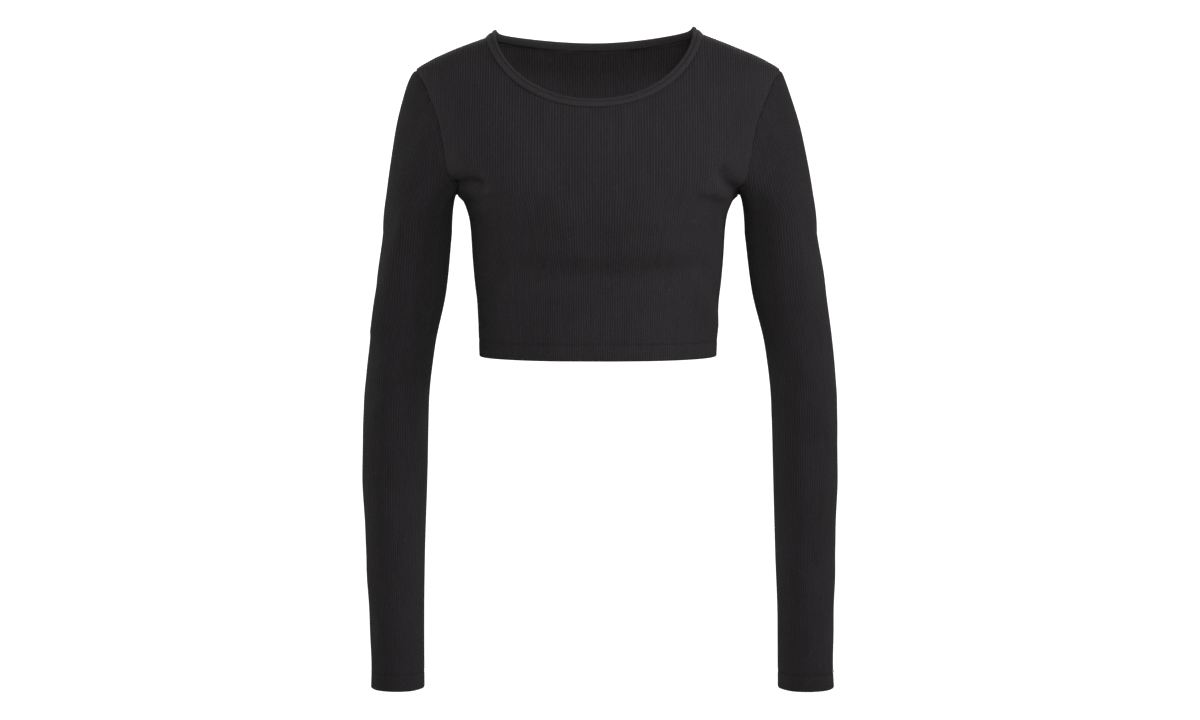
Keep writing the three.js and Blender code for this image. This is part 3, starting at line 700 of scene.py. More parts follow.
def cap_surface(name, sign, count=SEAM_POINTS, rows=CAP_ROWS):
    """Dense points of the sleeve's cap for the front and back halves: from the armhole to the upper arm."""
    sleeve = SLEEVES[name]
    lines = {half: armhole_line(FACES[face], sign, count) for half, face in ((-1, "front"), (1, "back"))}
    ring = np.concatenate([lines[-1][0], lines[1][0][-2:0:-1]])
    normals = np.concatenate([lines[-1][1], lines[1][1][-2:0:-1]])
    for i in (0, count - 1):
        ring[i, 1] = 0
    spread = 3
    along = unit(np.roll(ring, -spread, axis=0) - np.roll(ring, spread, axis=0))
    away = unit(np.cross(along, normals))
    away = np.where((away[:, :1] * sign) < 0, -away, away)
    start = ring - away * SEAM_OVERLAP
    surfaces = {}
    for half in (-1, 1):
        order = np.arange(count)
        if half > 0:
            order = np.concatenate([[0], np.arange(len(ring) - 1, count - 2, -1)])
        first, pull = start[order], away[order]
        last = sleeve_half_ring(sleeve, sign, half, SLEEVE_TOP_Z, count)
        reach = np.linalg.norm(first - last, axis=-1, keepdims=True)
        t = np.linspace(0, 1, rows)[:, None, None]
        down = np.array([0, 0, -1.0]) * CAP_END_PULL * reach
        start_pull = CAP_START_PULL * reach[None] * pull[None]
        surfaces[half] = hermite(first[None], start_pull, last[None], down[None], t)
        outermost = np.maximum(np.cos(np.linspace(0, math.pi, count)), 0) ** 2
        peak = 1 / (CAP_OUT_POWER + 1)
        swell = t[..., 0] * (1 - t[..., 0]) ** CAP_OUT_POWER / (peak * (1 - peak) ** CAP_OUT_POWER)
        surfaces[half][..., 0] += sign * CAP_OUT[name] * swell * outermost
    return surfaces


def level_line(surface, z):
    """The line at one height over a dense surface, from its outermost point to its seam."""
    heights = np.minimum.accumulate(surface[..., 2], axis=0)
    found = []
    for i in range(surface.shape[1]):
        if heights[0, i] < z:
            before = surface[0, i - 1]
            t = (before[2] - z) / (before[2] - surface[0, i, 2])
            found.append(mix(before, surface[0, i], np.clip(t, 0, 1)))
            break
        column = [np.interp(-z, -heights[:, i], surface[:, i, k]) for k in (0, 1)]
        found.append(np.array([*column, z]))
    return np.array(found)


def sleeve_grid(name):
    sleeve = SLEEVES[name]
    sign = -1 if name == "left" else 1
    surfaces = cap_surface(name, sign)
    tip_z = surfaces[-1][0, 0, 2]
    under_z = surfaces[-1][0, -1, 2]
    cap = mix(tip_z - TIP_STEP, under_z, eased(CAP_LEVELS))
    shoulder = np.linspace(under_z, SLEEVE_TOP_Z, SHOULDER_LEVELS)[1:]
    arm = np.linspace(SLEEVE_TOP_Z, CUFF_Z + ABOVE_EDGE, ARM_LEVELS)[1:]
    levels = np.concatenate([cap, shoulder, arm, edge_rows(CUFF_Z)[::-1]])
    last_column = SLEEVE_RIBS * COLUMNS_PER_RIB
    ribs = np.arange(-last_column, last_column + 1) / COLUMNS_PER_RIB
    halves = ((-1, ribs >= 0), (1, ribs <= 0))
    points = np.zeros((len(levels), len(ribs), 3))
    keep = np.ones(points.shape[:2])
    seam = np.full(points.shape[:2], FAR)
    lines, pitches = {}, {}
    for i, z in enumerate(levels):
        for half, _ in halves:
            if z > SLEEVE_TOP_Z:
                lines[i, half] = level_line(surfaces[half], z)
            else:
                lines[i, half] = sleeve_half_ring(sleeve, sign, half, z, RING_POINTS)
            pitches[i, half] = lengths_along(lines[i, half])[-1] / SLEEVE_RIBS
    under_row = len(cap) - 1
    for i, z in enumerate(levels):
        for half, chosen in halves:
            line = lines[i, half]
            lengths = lengths_along(line)
            pitch = pitches[max(i, under_row), half]
            reach = np.abs(ribs[chosen]) * pitch
            on = np.stack([np.interp(reach, lengths, line[:, k]) for k in range(3)], axis=-1)
            tangent = unit(line[-1] - line[max(len(line) - 3, 0)])
            on += np.maximum(reach - lengths[-1], 0)[:, None] * tangent
            points[i, chosen] = on
            if i < under_row:
                keep[i, chosen] = lengths[-1] - reach
            else:
                seam[i, chosen] = lengths[-1] - reach
    normals = grid_normals(points)
    edge = np.concatenate([surfaces[-1][0], surfaces[1][0]])
    near = levels > SLEEVE_TOP_Z - NEAR_SLEEVE_SEAM
    seam[near] = np.minimum(seam[near], distance_to(points[near], edge))
    x, z = points[..., 0], points[..., 2]
    half_depth = read(sleeve, "halfDepth", z)
    fade = smooth(seam / SLEEVE_FOLD_SEAM_FADE)
    height = np.zeros_like(x)
    for half, face in ((-1, "front"), (1, "back")):
        out = half * (points[..., 1] - read(sleeve, "middleY", z)) / half_depth
        height += fold_height(SLEEVE_FOLDS[name, face], x, z) * smooth(out / SLEEVE_FOLD_FADE)
    arc = np.broadcast_to(ribs * pitches[under_row, -1], x.shape)
    height += waves(arc, z) * smooth((SLEEVE_RIBS - np.abs(ribs)) / WAVE_SEAM_RIBS)[None, :]
    height = height * fade - seam_dip(seam, z)
    points = points + normals * height[..., None]
    outer, inner = turned_edge(z, CUFF_Z, *rib_walls(ribs, smooth(seam / RIB_FADE)))
    mask = np.ones((len(levels) - 1, len(ribs) - 1), bool)
    return Grid(points, normals, np.broadcast_to(ribs, x.shape), keep, outer, inner), mask


def grid_normals(points):
    """Directions out of a sleeve, from the differences between neighbouring points."""
    around = np.gradient(points, axis=1)
    across = points[:, 1] - points[:, 0] + points[:, -1] - points[:, -2]
    around[:, 0] = around[:, -1] = across
    down = np.gradient(points, axis=0)
    return outward(unit(np.cross(around, down)), points)


def outward(normals, points):
    """Turns all the directions together, so that those of the lower half point away from the middle."""
    lower = points[len(points) // 2 :]
    middle = lower.mean(axis=1, keepdims=True)
    agreement = ((lower - middle) * normals[len(points) // 2 :]).sum()
    return normals if agreement > 0 else -normals


# Binding: its section seen along the neck edge. up runs towards the opening, out away from the body.
BINDING = table(
    "up out",
    (-1.2, 0.4),
    (-1.45, 0.8),
    (-1.1, 1.15),
    (-0.3, 1.3),
    (0.9, 1.5),
    (2.3, 1.6),
    (3.4, 1.4),
    (3.95, 0.9),
    (4.3, 0.35),
    (4.65, 0.9),
    (5.2, 1.4),
    (6.3, 1.3),
    (7.2, 0.8),
    (7.7, 0.05),
    (7.5, -0.9),
    (6.7, -1.5),
    (5.0, -1.85),
    (3.0, -1.95),
    (1.0, -2.05),
    (-0.8, -2.1),
    (-1.3, -1.8),
    (-1.1, -1.45),
    (0.3, -1.35),
    (0.7, -0.4),
    (0.3, 0.3),
)
BINDING_FURROW = 4.3
FURROW_STITCH_OUT = 0.5
BINDING_RISE = 0.4
BINDING_RISE_REACH = 20
BINDING_STRETCH = 0.4
BINDING_STEP = 1.5
NECK_ROUNDINGS = 8
# The first corner of the section that lies on the inside of the neck.
INSIDE_CORNER = 14


def neck_loop():
    """Both panels' neck edges as one even loop, with directions out of the cloth and to the opening."""
    lines = []
    for name, order in (("front", 1), ("back", -1)):
        face = FACES[name]
        left, right = NECK_ENDS[-1][0], NECK_ENDS[1][0]
        angle = np.linspace(-math.pi / 2, math.pi / 2, 3 * DENSE)
        x = np.clip(mix(left, right, (np.sin(angle) + 1) / 2), left, right)
        point, normal = panel_place(face, x, neck_edge_z(face, x), folded=False)
        lines.append(np.concatenate([point, normal], axis=-1)[::order])
    loop = np.concatenate(lines)
    count = int(lengths_along(loop[:, :3])[-1] / BINDING_STEP)
    loop = even_line(closed(loop), count + 1)[:-1]
    for _ in range(NECK_ROUNDINGS):
        loop = (np.roll(loop, 1, axis=0) + 2 * loop + np.roll(loop, -1, axis=0)) / 4
    point, normal = loop[:, :3], unit(loop[:, 3:])
    along = unit(np.roll(point, -1, axis=0) - np.roll(point, 1, axis=0))
    up = unit(np.cross(along, normal))
    towards = np.array([NECK_MIDDLE_X, 0, 0]) - point
    up = np.where((up * towards).sum(-1, keepdims=True) < 0, -up, up)
    beside = np.exp(-((point[:, 1:2] / BINDING_RISE_REACH) ** 2))
    up = unit(up + np.array([0, 0, BINDING_RISE]) * beside)
    normal = unit(normal - up * (normal * up).sum(-1, keepdims=True))
    return point, normal, up * (1 + BINDING_STRETCH * beside)


def ring_faces(count, corners):
    """Faces between neighbouring rings of a closed tube."""
    a = np.arange(count * corners).reshape(count, corners)
    b = np.roll(a, -1, axis=0)
    return np.stack([a, np.roll(a, -1, axis=1), np.roll(b, -1, axis=1), b], axis=-1).reshape(-1, 4).tolist()


def make_binding(loop, material):
    point, normal, up = loop
    count, corners = len(point), len(BINDING["up"])
    rings = (
        point[:, None]
        + up[:, None] * BINDING["up"][None, :, None]
        + normal[:, None] * BINDING["out"][None, :, None]
    )
    section = np.stack([BINDING["up"], BINDING["out"]], axis=-1)
    around = np.arange(count)[:, None] * BINDING_STEP * np.ones(corners)
    across = lengths_along(section)[None, :] * np.ones((count, 1))
    closing = float(np.linalg.norm(section[0] - section[-1]))
    faces = ring_faces(count, corners)
    piece = make_mesh("neck_binding_cloth", rings.reshape(-1, 3), faces, material)
    ring_next = np.roll(np.arange(corners), -1)
    corner_uv = np.zeros((count, corners, 4, 2))
    grid_uv = np.stack([around, across], axis=-1)
    grid_next = grid_uv + [BINDING_STEP, 0]
    corner_uv[:, :, 0], corner_uv[:, :, 3] = grid_uv, grid_next
    corner_uv[:, :, 1], corner_uv[:, :, 2] = grid_uv[:, ring_next], grid_next[:, ring_next]
    corner_uv[:, -1, 1, 1] = corner_uv[:, -1, 0, 1] + closing
    corner_uv[:, -1, 2, 1] = corner_uv[:, -1, 3, 1] + closing
    # The binding's inside faces are painted paler the same way: painted light.
    corner_uv[:, INSIDE_CORNER:, :, 0] += WRONG_SIDE_SHIFT
    layer = piece.data.uv_layers.new(name="UVMap")
    layer.data.foreach_set("uv", corner_uv.astype(np.float32).ravel())
    flip_if_inside_out(piece)
    return piece


def flip_if_inside_out(piece):
    """Turns the faces of a closed piece outwards."""
    mesh = piece.data
    mesh.calc_loop_triangles()
    triangles = np.zeros(len(mesh.loop_triangles) * 3, int)
    mesh.loop_triangles.foreach_get("vertices", triangles)
    points = np.zeros(len(mesh.vertices) * 3)
    mesh.vertices.foreach_get("co", points)
    a, b, c = points.reshape(-1, 3)[triangles.reshape(-1, 3)].transpose(1, 0, 2)
    if (a * np.cross(b, c)).sum() < 0:
        mesh.flip_normals()


THREAD_RADIUS = 0.2
STITCH_LENGTH = 2.7
STITCH_SHARE = 0.86
STITCH_OFFSET = 0.15
THREAD_SIDES = 6
# One stitch from end to end: how far out of the cloth it lies, and its thickness.
STITCH_RISE = np.array([-0.28, 0.1, 0.2, 0.1, -0.28])
STITCH_WIDTH = np.array([0.45, 0.95, 1.0, 0.95, 0.45])


def tube_rings(centres, tangents, normals, radii):
    """Rings of points round a thread."""
    sideways = unit(np.cross(tangents, normals))
    lift = unit(np.cross(sideways, tangents))
    angle = np.arange(THREAD_SIDES) * 2 * math.pi / THREAD_SIDES
    cosine, sine = np.cos(angle)[:, None], np.sin(angle)[:, None]
    return (
        centres[..., None, :]
        + radii[..., None, None] * (sideways[..., None, :] * cosine + lift[..., None, :] * sine)
    )


def stitch_row(points, normals):
    """Short stitches end to end along a closed line, each one dipping into the cloth at its ends."""
    values = closed(np.concatenate([points, normals], axis=-1))
    count = int(round(lengths_along(values[:, :3])[-1] / STITCH_LENGTH))
    steps = len(STITCH_RISE)
    even = even_line(values, count * (steps + 1) + 1)[:-1].reshape(count, steps + 1, 6)[:, :steps]
    centre, normal = even[..., :3], unit(even[..., 3:])
    tangent = unit(np.gradient(centre, axis=1))
    middle = centre[:, steps // 2 : steps // 2 + 1]
    centre = middle + (centre - middle) * STITCH_SHARE * (steps + 1) / steps
    centre = centre + normal * STITCH_RISE[None, :, None]
    radii = np.broadcast_to(STITCH_WIDTH * THREAD_RADIUS, centre.shape[:2])
    return tube_rings(centre, tangent, normal, radii).reshape(-1, 3), closed_tubes(count, steps)


def closed_tubes(count, steps):
    faces = []
    for s in range(count):
        base = s * steps * THREAD_SIDES
        for r in range(steps - 1):
            for k in range(THREAD_SIDES):
                a = base + r * THREAD_SIDES + k
                b = base + r * THREAD_SIDES + (k + 1) % THREAD_SIDES
                faces.append([a, b, b + THREAD_SIDES, a + THREAD_SIDES])
        faces.append([base + k for k in range(THREAD_SIDES)][::-1])
        faces.append([base + (steps - 1) * THREAD_SIDES + k for k in range(THREAD_SIDES)])
    return faces


LOOPER_PITCH = 2.7
LOOPER_HALF_WIDTH = 1.6
# A near-black tube lies in each armhole seam's ditch: painted shadow of the seam line.
SEAM_SHADOW_SHARE = 0.7
SEAM_SHADOW_RADIUS = 0.42
LOOPER_STEPS = 8
LOOPER_BELOW = 1.6
LOOPER_INSIDE = 1.55
LOOPER_SQUARENESS = 1.35


def looper_row(points, normals, across, half_width, radius):
    """One thread along a closed line, which runs to and fro by half_width on either side."""
    values = closed(np.concatenate([points, normals, across], axis=-1))
    turns = int(round(lengths_along(values[:, :3])[-1] / LOOPER_PITCH))
    even = even_line(values, turns * LOOPER_STEPS + 1)[:-1]
    phase = np.arange(len(even)) / LOOPER_STEPS * 2 * math.pi
    sideways = half_width * np.clip(LOOPER_SQUARENESS * np.sin(phase), -1, 1)
    centre = even[:, :3] + unit(even[:, 6:9]) * sideways[:, None]
    normal = unit(even[:, 3:6])
    tangent = unit(np.roll(centre, -1, axis=0) - np.roll(centre, 1, axis=0))
    rings = tube_rings(centre, tangent, normal, np.full(len(centre), radius))
    return rings.reshape(-1, 3), ring_faces(len(rings), THREAD_SIDES)


def armhole_shadow_row(sign):
    """A near-black tube at the bottom of an armhole seam: painted shadow of the seam's ditch."""
    front, back = (armhole_line(FACES[name], sign) for name in ("front", "back"))
    points = np.concatenate([front[0], back[0][-2:0:-1]])
    normals = np.concatenate([front[1], back[1][-2:0:-1]])
    depth = SEAM_SHADOW_SHARE * seam_dip(np.zeros(len(points)), points[:, 2])
    return looper_row(points - normals * depth[:, None], normals, normals, 0.0, SEAM_SHADOW_RADIUS)


def join_rows(name, rows, material):
    points, faces, offset = [], [], 0
    for row_points, row_faces in rows:
        points.append(row_points)
        faces += [[v + offset for v in face] for face in row_faces]
        offset += len(row_points)
    return make_mesh(name, np.concatenate(points), faces, material)


def panel_level_loop(z, offset):
    """A closed line round the body at one height, this far out of the cloth, with its directions out."""
    lines = []
    for name, order in (("front", 1), ("back", -1)):
        half_width = read(BODY, "halfWidth", z)
        x = half_width * np.sin(np.linspace(-math.pi / 2, math.pi / 2, DENSE))[::order]
        point, normal = panel_place(FACES[name], x, np.full(DENSE, float(z)))
        lines.append(np.concatenate([point + normal * offset, normal], axis=-1))
    loop = even_line(closed(np.concatenate(lines)), LOOP_POINTS)[:-1]
    return loop[:, :3], unit(loop[:, 3:])


def sleeve_level_loop(name, z, offset):
    sleeve = SLEEVES[name]
    sign = -1 if name == "left" else 1
    front = sleeve_half_ring(sleeve, sign, -1, z, DENSE)
    back = sleeve_half_ring(sleeve, sign, 1, z, DENSE)[::-1]
    loop = np.concatenate([front[:-1], back[:-1]])
    along = np.roll(loop, -1, axis=0) - np.roll(loop, 1, axis=0)
    normal = unit(np.cross(along, np.array([0, 0, 1.0])))
    if ((loop - loop.mean(0)) * normal).sum() < 0:
        normal = -normal
    return loop + normal * offset, normal


NOISE_LOW = 0.3
NOISE_HIGH = 0.7


class Nodes:
    """Short ways to add and join a material's nodes."""

    def __init__(self, material):
        self.tree = material.node_tree

    def add(self, kind, inputs=None, **settings):
        node = self.tree.nodes.new(kind)
        for key, value in settings.items():
            setattr(node, key, value)
        self.fill(node, inputs or {})
        return node

    def fill(self, node, inputs):
        """Gives inputs of a node, by name or by number, their values or links."""
        for key, value in inputs.items():
            if isinstance(value, bpy.types.NodeSocket):
                self.tree.links.new(value, node.inputs[key])
            else:
                node.inputs[key].default_value = value

    def math(self, operation, *values):
        return self.add("ShaderNodeMath", dict(enumerate(values)), operation=operation).outputs[0]

    def times(self, *values):
        return reduce(lambda a, b: self.math("MULTIPLY", a, b), values)

    def plus(self, *values):
        return reduce(lambda a, b: self.math("ADD", a, b), values)

    def parts(self, vector):
        return self.add("ShaderNodeSeparateXYZ", {0: vector}).outputs

    def noise(self, vector, scale, detail=2.0, roughness=0.5):
        inputs = {"Vector": vector, "Scale": scale, "Detail": detail, "Roughness": roughness}
        return self.add("ShaderNodeTexNoise", inputs).outputs["Fac"]

    def scaled(self, vector, factor):
        inputs = {0: vector, "Scale": factor}
        return self.add("ShaderNodeVectorMath", inputs, operation="SCALE").outputs[0]

    def bump(self, height, strength, distance):
        inputs = {"Strength": strength, "Distance": distance, "Height": height}
        return self.add("ShaderNodeBump", inputs).outputs[0]

    def ranged(self, value, low, high, to_low, to_high):
        inputs = dict(enumerate((value, low, high, to_low, to_high)))
        return self.add("ShaderNodeMapRange", inputs).outputs[0]

    def varied(self, noise, spread):
        """A factor round 1 that follows a noise."""
        return self.ranged(noise, NOISE_LOW, NOISE_HIGH, 1 - spread, 1 + spread)


def new_material(name):
    """A material with its nodes, its shader and its place on the object."""
    material = bpy.data.materials.new(name)
    material.use_nodes = True
    nodes = Nodes(material)
    place = nodes.add("ShaderNodeTexCoord").outputs["Object"]
    return material, nodes, material.node_tree.nodes["Principled BSDF"], place


COURSE = 1.25
# The UV map of a shell's inside is moved this far, so that the material can paint the inside paler: painted
# light standing in for light that reaches the inside.
WRONG_SIDE_SHIFT = 4000
INSIDE_PAINTED_LIGHT = 1.5
FUZZ_SCALE = 2600.0
YARN_SCALE = 900.0
LINT_SCALE = 330.0
LINT_SIZE = 0.16
LINT_SHARE = 0.045
LINT_SHADE = 1.3
LOOP_SLANT = 1.7
LOOP_HEIGHT = 0.35
FUZZ_HEIGHT = 0.7
YARN_HEIGHT = 0.8
KNIT_BUMP = 0.65
KNIT_BUMP_DEPTH = 0.3 * MM
SLOW_SCALE = 14.0
SLOW_SPREAD = 0.07
STREAK_SCALE = 0.9
STREAK_SHORTENING = 0.02
STREAK_SPREAD = 0.06
YARN_SPREAD = 0.24
# Share of the painted groove shade that is added on the rib crests as a painted highlight.
CREST_HIGHLIGHT_SHARE = 0.35
TWIST_SCALE = 1500.0
TWIST_SHADES = (0.75, 1.3)
TWIST_BUMP = 0.5
TWIST_BUMP_DEPTH = 0.1 * MM
KNIT_COLOUR = (0.0225, 0.0205, 0.0222)
# The sleeves' darker colour is painted shade, fitted to the photograph's brightness; the sleeves aren't
# another cloth.
SLEEVE_PAINTED_SHADE_COLOUR = (0.0191, 0.0175, 0.019)
BINDING_COLOUR = (0.028, 0.0256, 0.0275)
BINDING_RIB_PITCH = 1.6
# How much the binding's rib grooves are painted darker: painted shade.
BINDING_GROOVE_SHADE = 0.3
# The stitches are real thread; their colour is painted darker than the cloth as painted shade along the
# stitch lines.
THREAD_PAINTED_SHADE_COLOUR = (0.0135, 0.0125, 0.0135)
# Near black, for the painted shadow along the armhole seams.
SEAM_SHADOW_COLOUR = (0.006, 0.0056, 0.006)


def knit_material(name, colour, rib_pitch=1.0, groove_shade=0.4):
    """Fine knit: loops in columns, with fuzz, slow changes of shade, a few specks of lint, painted shade in
    the rib grooves, a painted highlight on the crests and painted light on the inside.
    """
    material, nodes, shader, place = new_material(name)
    across, along, _ = nodes.parts(nodes.add("ShaderNodeUVMap", uv_map="UVMap").outputs[0])
    rib = nodes.math("DIVIDE", across, rib_pitch)
    course = nodes.math("DIVIDE", along, COURSE)
    side = nodes.math("ABSOLUTE", nodes.math("SUBTRACT", nodes.math("FRACT", rib), 0.5))
    crest = nodes.math("SUBTRACT", 1.0, nodes.times(side, 2.0))
    slant = nodes.plus(course, nodes.times(side, LOOP_SLANT))
    loops = nodes.times(nodes.math("SINE", nodes.times(slant, 2 * math.pi)), crest, LOOP_HEIGHT)
    fuzz = nodes.noise(place, FUZZ_SCALE, 3.0, 0.7)
    yarn = nodes.noise(place, YARN_SCALE, 2.0, 0.6)
    height = nodes.plus(loops, nodes.times(fuzz, FUZZ_HEIGHT), nodes.times(yarn, YARN_HEIGHT))

    # Mask of the inside faces, which are painted paler: painted light.
    painted_light_mask = nodes.math("GREATER_THAN", across, 0.5 * WRONG_SIDE_SHIFT)
    streak_inputs = {0: nodes.math("FLOOR", rib), 1: nodes.times(course, STREAK_SHORTENING)}
    streak_place = nodes.add("ShaderNodeCombineXYZ", streak_inputs).outputs[0]
    # Painted shade darkens the rib grooves and a painted highlight lightens the crests; the inside is
    # painted paler as painted light; slow changes, streaks and yarn vary the tone at random.
    shade = nodes.times(
        nodes.ranged(crest, 0.0, 1.0, 1.0 - groove_shade, 1.0 + CREST_HIGHLIGHT_SHARE * groove_shade),
        nodes.ranged(painted_light_mask, 0.0, 1.0, 1.0, INSIDE_PAINTED_LIGHT),
        nodes.varied(nodes.noise(place, SLOW_SCALE, 3.0, 0.55), SLOW_SPREAD),
        nodes.varied(nodes.noise(streak_place, STREAK_SCALE, 2.0, 0.6), STREAK_SPREAD),
        nodes.varied(yarn, YARN_SPREAD),
    )
    lint = nodes.add("ShaderNodeTexVoronoi", {"Vector": place, "Scale": LINT_SCALE}, feature="F1")
    small = nodes.math("LESS_THAN", lint.outputs["Distance"], LINT_SIZE)
    chosen = nodes.math("GREATER_THAN", nodes.parts(lint.outputs["Color"])[0], 1 - LINT_SHARE)
    shade = nodes.plus(shade, nodes.times(small, chosen, LINT_SHADE))
    settings = {
        "Base Color": nodes.scaled(colour, shade),
        "Normal": nodes.bump(height, KNIT_BUMP, KNIT_BUMP_DEPTH),
        "Roughness": 0.92,
        "Specular IOR Level": 0.08,
        "Sheen Weight": 0.04,
        "Sheen Roughness": 0.4,
        "Sheen Tint": (0.62, 0.6, 0.62, 1),
    }
    nodes.fill(shader, settings)
    return material


def thread_material(name, colour):
    material, nodes, shader, place = new_material(name)
    twist = nodes.noise(place, TWIST_SCALE)
    settings = {
        "Base Color": nodes.scaled(colour, nodes.ranged(twist, NOISE_LOW, NOISE_HIGH, *TWIST_SHADES)),
        "Normal": nodes.bump(twist, TWIST_BUMP, TWIST_BUMP_DEPTH),
        "Roughness": 0.8,
        "Specular IOR Level": 0.15,
    }
    nodes.fill(shader, settings)
    return material


# Stage, in metres. It glows from GLOW_START_Y, behind the garment, and most from GLOW_FULL_Y on.
FLOOR_Z = -1.35
FLOOR_FRONT_Y = -7.0
STAGE_HALF_WIDTH = 7.0
BEND_Y = 3.0
BEND_RADIUS = 1.6
BEND_STEPS = 16
WALL_TOP_Z = 5.0
GLOW_START_Y = 0.5
GLOW_FULL_Y = 4.0
WALL_GLOW = 1.0
PAPER_COLOUR = (0.62, 0.62, 0.62)
PAPER_GRAIN_SCALE = 300.0
PAPER_GRAIN_SPREAD = 0.03


def make_stage():
    """A pale floor that curves up into a pale wall."""
    material, nodes, shader, place = new_material("studio_paper")
    grain = nodes.varied(nodes.noise(place, PAPER_GRAIN_SCALE), PAPER_GRAIN_SPREAD)
    settings = {
        "Base Color": nodes.scaled(PAPER_COLOUR, grain),
        "Emission Color": (1, 1, 1, 1),
        "Emission Strength": nodes.ranged(nodes.parts(place)[1], GLOW_START_Y, GLOW_FULL_Y, 0.0, WALL_GLOW),
        "Roughness": 0.9,
        "Specular IOR Level": 0.1,
    }
    nodes.fill(shader, settings)
    profile = [(FLOOR_FRONT_Y, FLOOR_Z), (BEND_Y, FLOOR_Z)]
    for step in range(1, BEND_STEPS + 1):
        angle = step / BEND_STEPS * math.pi / 2
        y = BEND_Y + BEND_RADIUS * math.sin(angle)
        profile.append((y, FLOOR_Z + BEND_RADIUS * (1 - math.cos(angle))))
    profile.append((BEND_Y + BEND_RADIUS, WALL_TOP_Z))
    points = [(x, y, z) for y, z in profile for x in (-STAGE_HALF_WIDTH, STAGE_HALF_WIDTH)]
    faces = [[2 * i, 2 * i + 1, 2 * i + 3, 2 * i + 2] for i in range(len(profile) - 1)]
    floor = make_mesh("studio_floor", np.array(points) / MM, faces, material)


def add_looking(name, data, place, direction):
    """Puts a camera or a light at a place, looking along a direction."""
    thing = bpy.data.objects.new(name, data)
    thing.location = place
    thing.rotation_mode = "QUATERNION"
    thing.rotation_quaternion = direction.to_track_quat("-Z", "Y")
    bpy.context.scene.collection.objects.link(thing)
    return thing


def area_light(name, place, target, size, power):
    data = bpy.data.lights.new(name, "AREA")
    data.shape = "RECTANGLE"
    data.size, data.size_y = size
    data.energy = power
    light = add_looking(name, data, place, Vector(target) - Vector(place))
    light.visible_camera = False


# Lights: name, place, what it is aimed at, size, and power, from a fit that was changed.
LIGHTS = (
    ("top", (0.2, -0.9, 1.4), (0, -0.05, -0.2), (0.9, 0.9), 3),
    ("front", (0.15, -2.0, 0.5), (0, -0.05, -0.2), (0.7, 0.7), 33),
    ("front_right", (1.95, -0.68, 0.3), (0, -0.05, -0.25), (0.6, 1.0), 25),
    ("front_left", (-1.75, -1.0, 0.3), (0, -0.05, -0.25), (0.7, 1.0), 4.5),
    ("right_edge", (2.2, 0.8, 0.1), (0, 0, -0.35), (0.5, 2.0), 8),
    ("back", (0.3, 2.4, 0.9), (0, 0.05, -0.25), (1.2, 1.2), 22),
    ("left_edge", (-2.2, 0.8, 0.1), (0, 0, -0.35), (0.5, 2.0), 30),
)
WORLD_POWER = 0.07

CAMERA_TARGET = Vector((0.002, 0, -0.332))
CAMERA_DISTANCE = 3.0
CAMERA_ELEVATION = math.radians(3.9)


def make_camera_and_light():
    data = bpy.data.cameras.new("camera")
    data.sensor_width = 36
    data.lens = 90
    back = Vector((0, -math.cos(CAMERA_ELEVATION), math.sin(CAMERA_ELEVATION)))
    place = CAMERA_TARGET + back * CAMERA_DISTANCE
    bpy.context.scene.camera = add_looking("camera", data, place, -back)
    for light in LIGHTS:
        area_light(*light)
    world = bpy.data.worlds.new("studio")
    world.use_nodes = True
    background = world.node_tree.nodes["Background"]
    background.inputs[0].default_value = (1, 1, 1, 1)
    background.inputs[1].default_value = WORLD_POWER
    bpy.context.scene.world = world
    bpy.context.scene.view_settings.view_transform = "Standard"


def declare(piece, node):
    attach(piece, "root")
    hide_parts(node)


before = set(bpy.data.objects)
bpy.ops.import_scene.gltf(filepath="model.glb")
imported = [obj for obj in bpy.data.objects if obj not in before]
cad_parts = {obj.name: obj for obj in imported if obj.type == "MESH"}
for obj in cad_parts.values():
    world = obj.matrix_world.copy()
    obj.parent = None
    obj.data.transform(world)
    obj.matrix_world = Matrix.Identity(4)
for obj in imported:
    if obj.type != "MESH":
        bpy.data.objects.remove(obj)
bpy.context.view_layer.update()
make_camera_and_light()
make_stage()

knit = knit_material("rib_knit", KNIT_COLOUR)
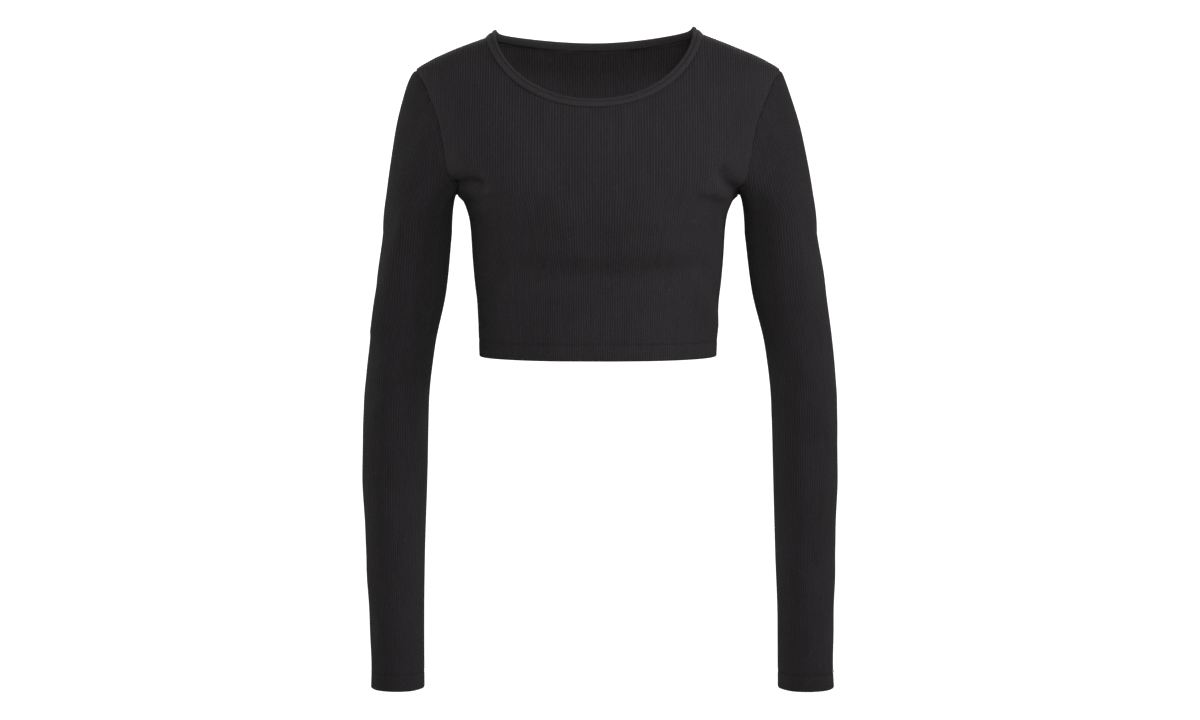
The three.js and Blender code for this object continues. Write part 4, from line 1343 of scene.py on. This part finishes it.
# A darker copy of the same knit for the sleeves: painted shade.
shaded_sleeve_knit = knit_material("rib_knit_sleeves_painted_shade", SLEEVE_PAINTED_SHADE_COLOUR)
binding_knit = knit_material("binding_knit", BINDING_COLOUR, BINDING_RIB_PITCH, BINDING_GROOVE_SHADE)
thread = thread_material("sewing_thread_painted_shade", THREAD_PAINTED_SHADE_COLOUR)
seam_painted_shadow = thread_material("seam_painted_shadow", SEAM_SHADOW_COLOUR)

panels = {}
for name, face in FACES.items():
    panels[name] = make_shell(f"{name}_panel_cloth", *panel_grid(face), knit)
    declare(panels[name], f"{name}_panel")

sleeves = {}
for name in SLEEVES:
    sleeves[name] = make_shell(f"{name}_sleeve_cloth", *sleeve_grid(name), shaded_sleeve_knit)
    declare(sleeves[name], f"{name}_sleeve")

loop = neck_loop()
binding = make_binding(loop, binding_knit)
declare(binding, "neck_binding")

neck_point, neck_normal, neck_up = loop
hem_row = stitch_row(*panel_level_loop(HEM_Z + TURN_UP_DEPTH, STITCH_OFFSET))
hem_thread = join_rows("hem_stitches", [hem_row], thread)
cuff_rows = {}
for name in SLEEVES:
    cuff_row = stitch_row(*sleeve_level_loop(name, CUFF_Z + TURN_UP_DEPTH, STITCH_OFFSET))
    cuff_rows[name] = join_rows(f"{name}_cuff_stitches", [cuff_row], thread)
furrow = neck_point + neck_up * BINDING_FURROW + neck_normal * FURROW_STITCH_OUT
neck_thread = join_rows("binding_stitches", [stitch_row(furrow, neck_normal)], thread)
looper_line = neck_point - neck_up * LOOPER_BELOW - neck_normal * LOOPER_INSIDE
inside_neck = looper_row(looper_line, -neck_normal, neck_up, LOOPER_HALF_WIDTH, THREAD_RADIUS)
neck_looper = join_rows("binding_looper_thread", [inside_neck], thread)
# The armhole tubes are painted shadow of the seam lines.
armhole_painted_shadows = join_rows("armhole_seam_painted_shadows", [armhole_shadow_row(-1), armhole_shadow_row(1)], seam_painted_shadow)
for piece in (hem_thread, neck_thread, neck_looper, armhole_painted_shadows, *cuff_rows.values()):
    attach(piece, "root")
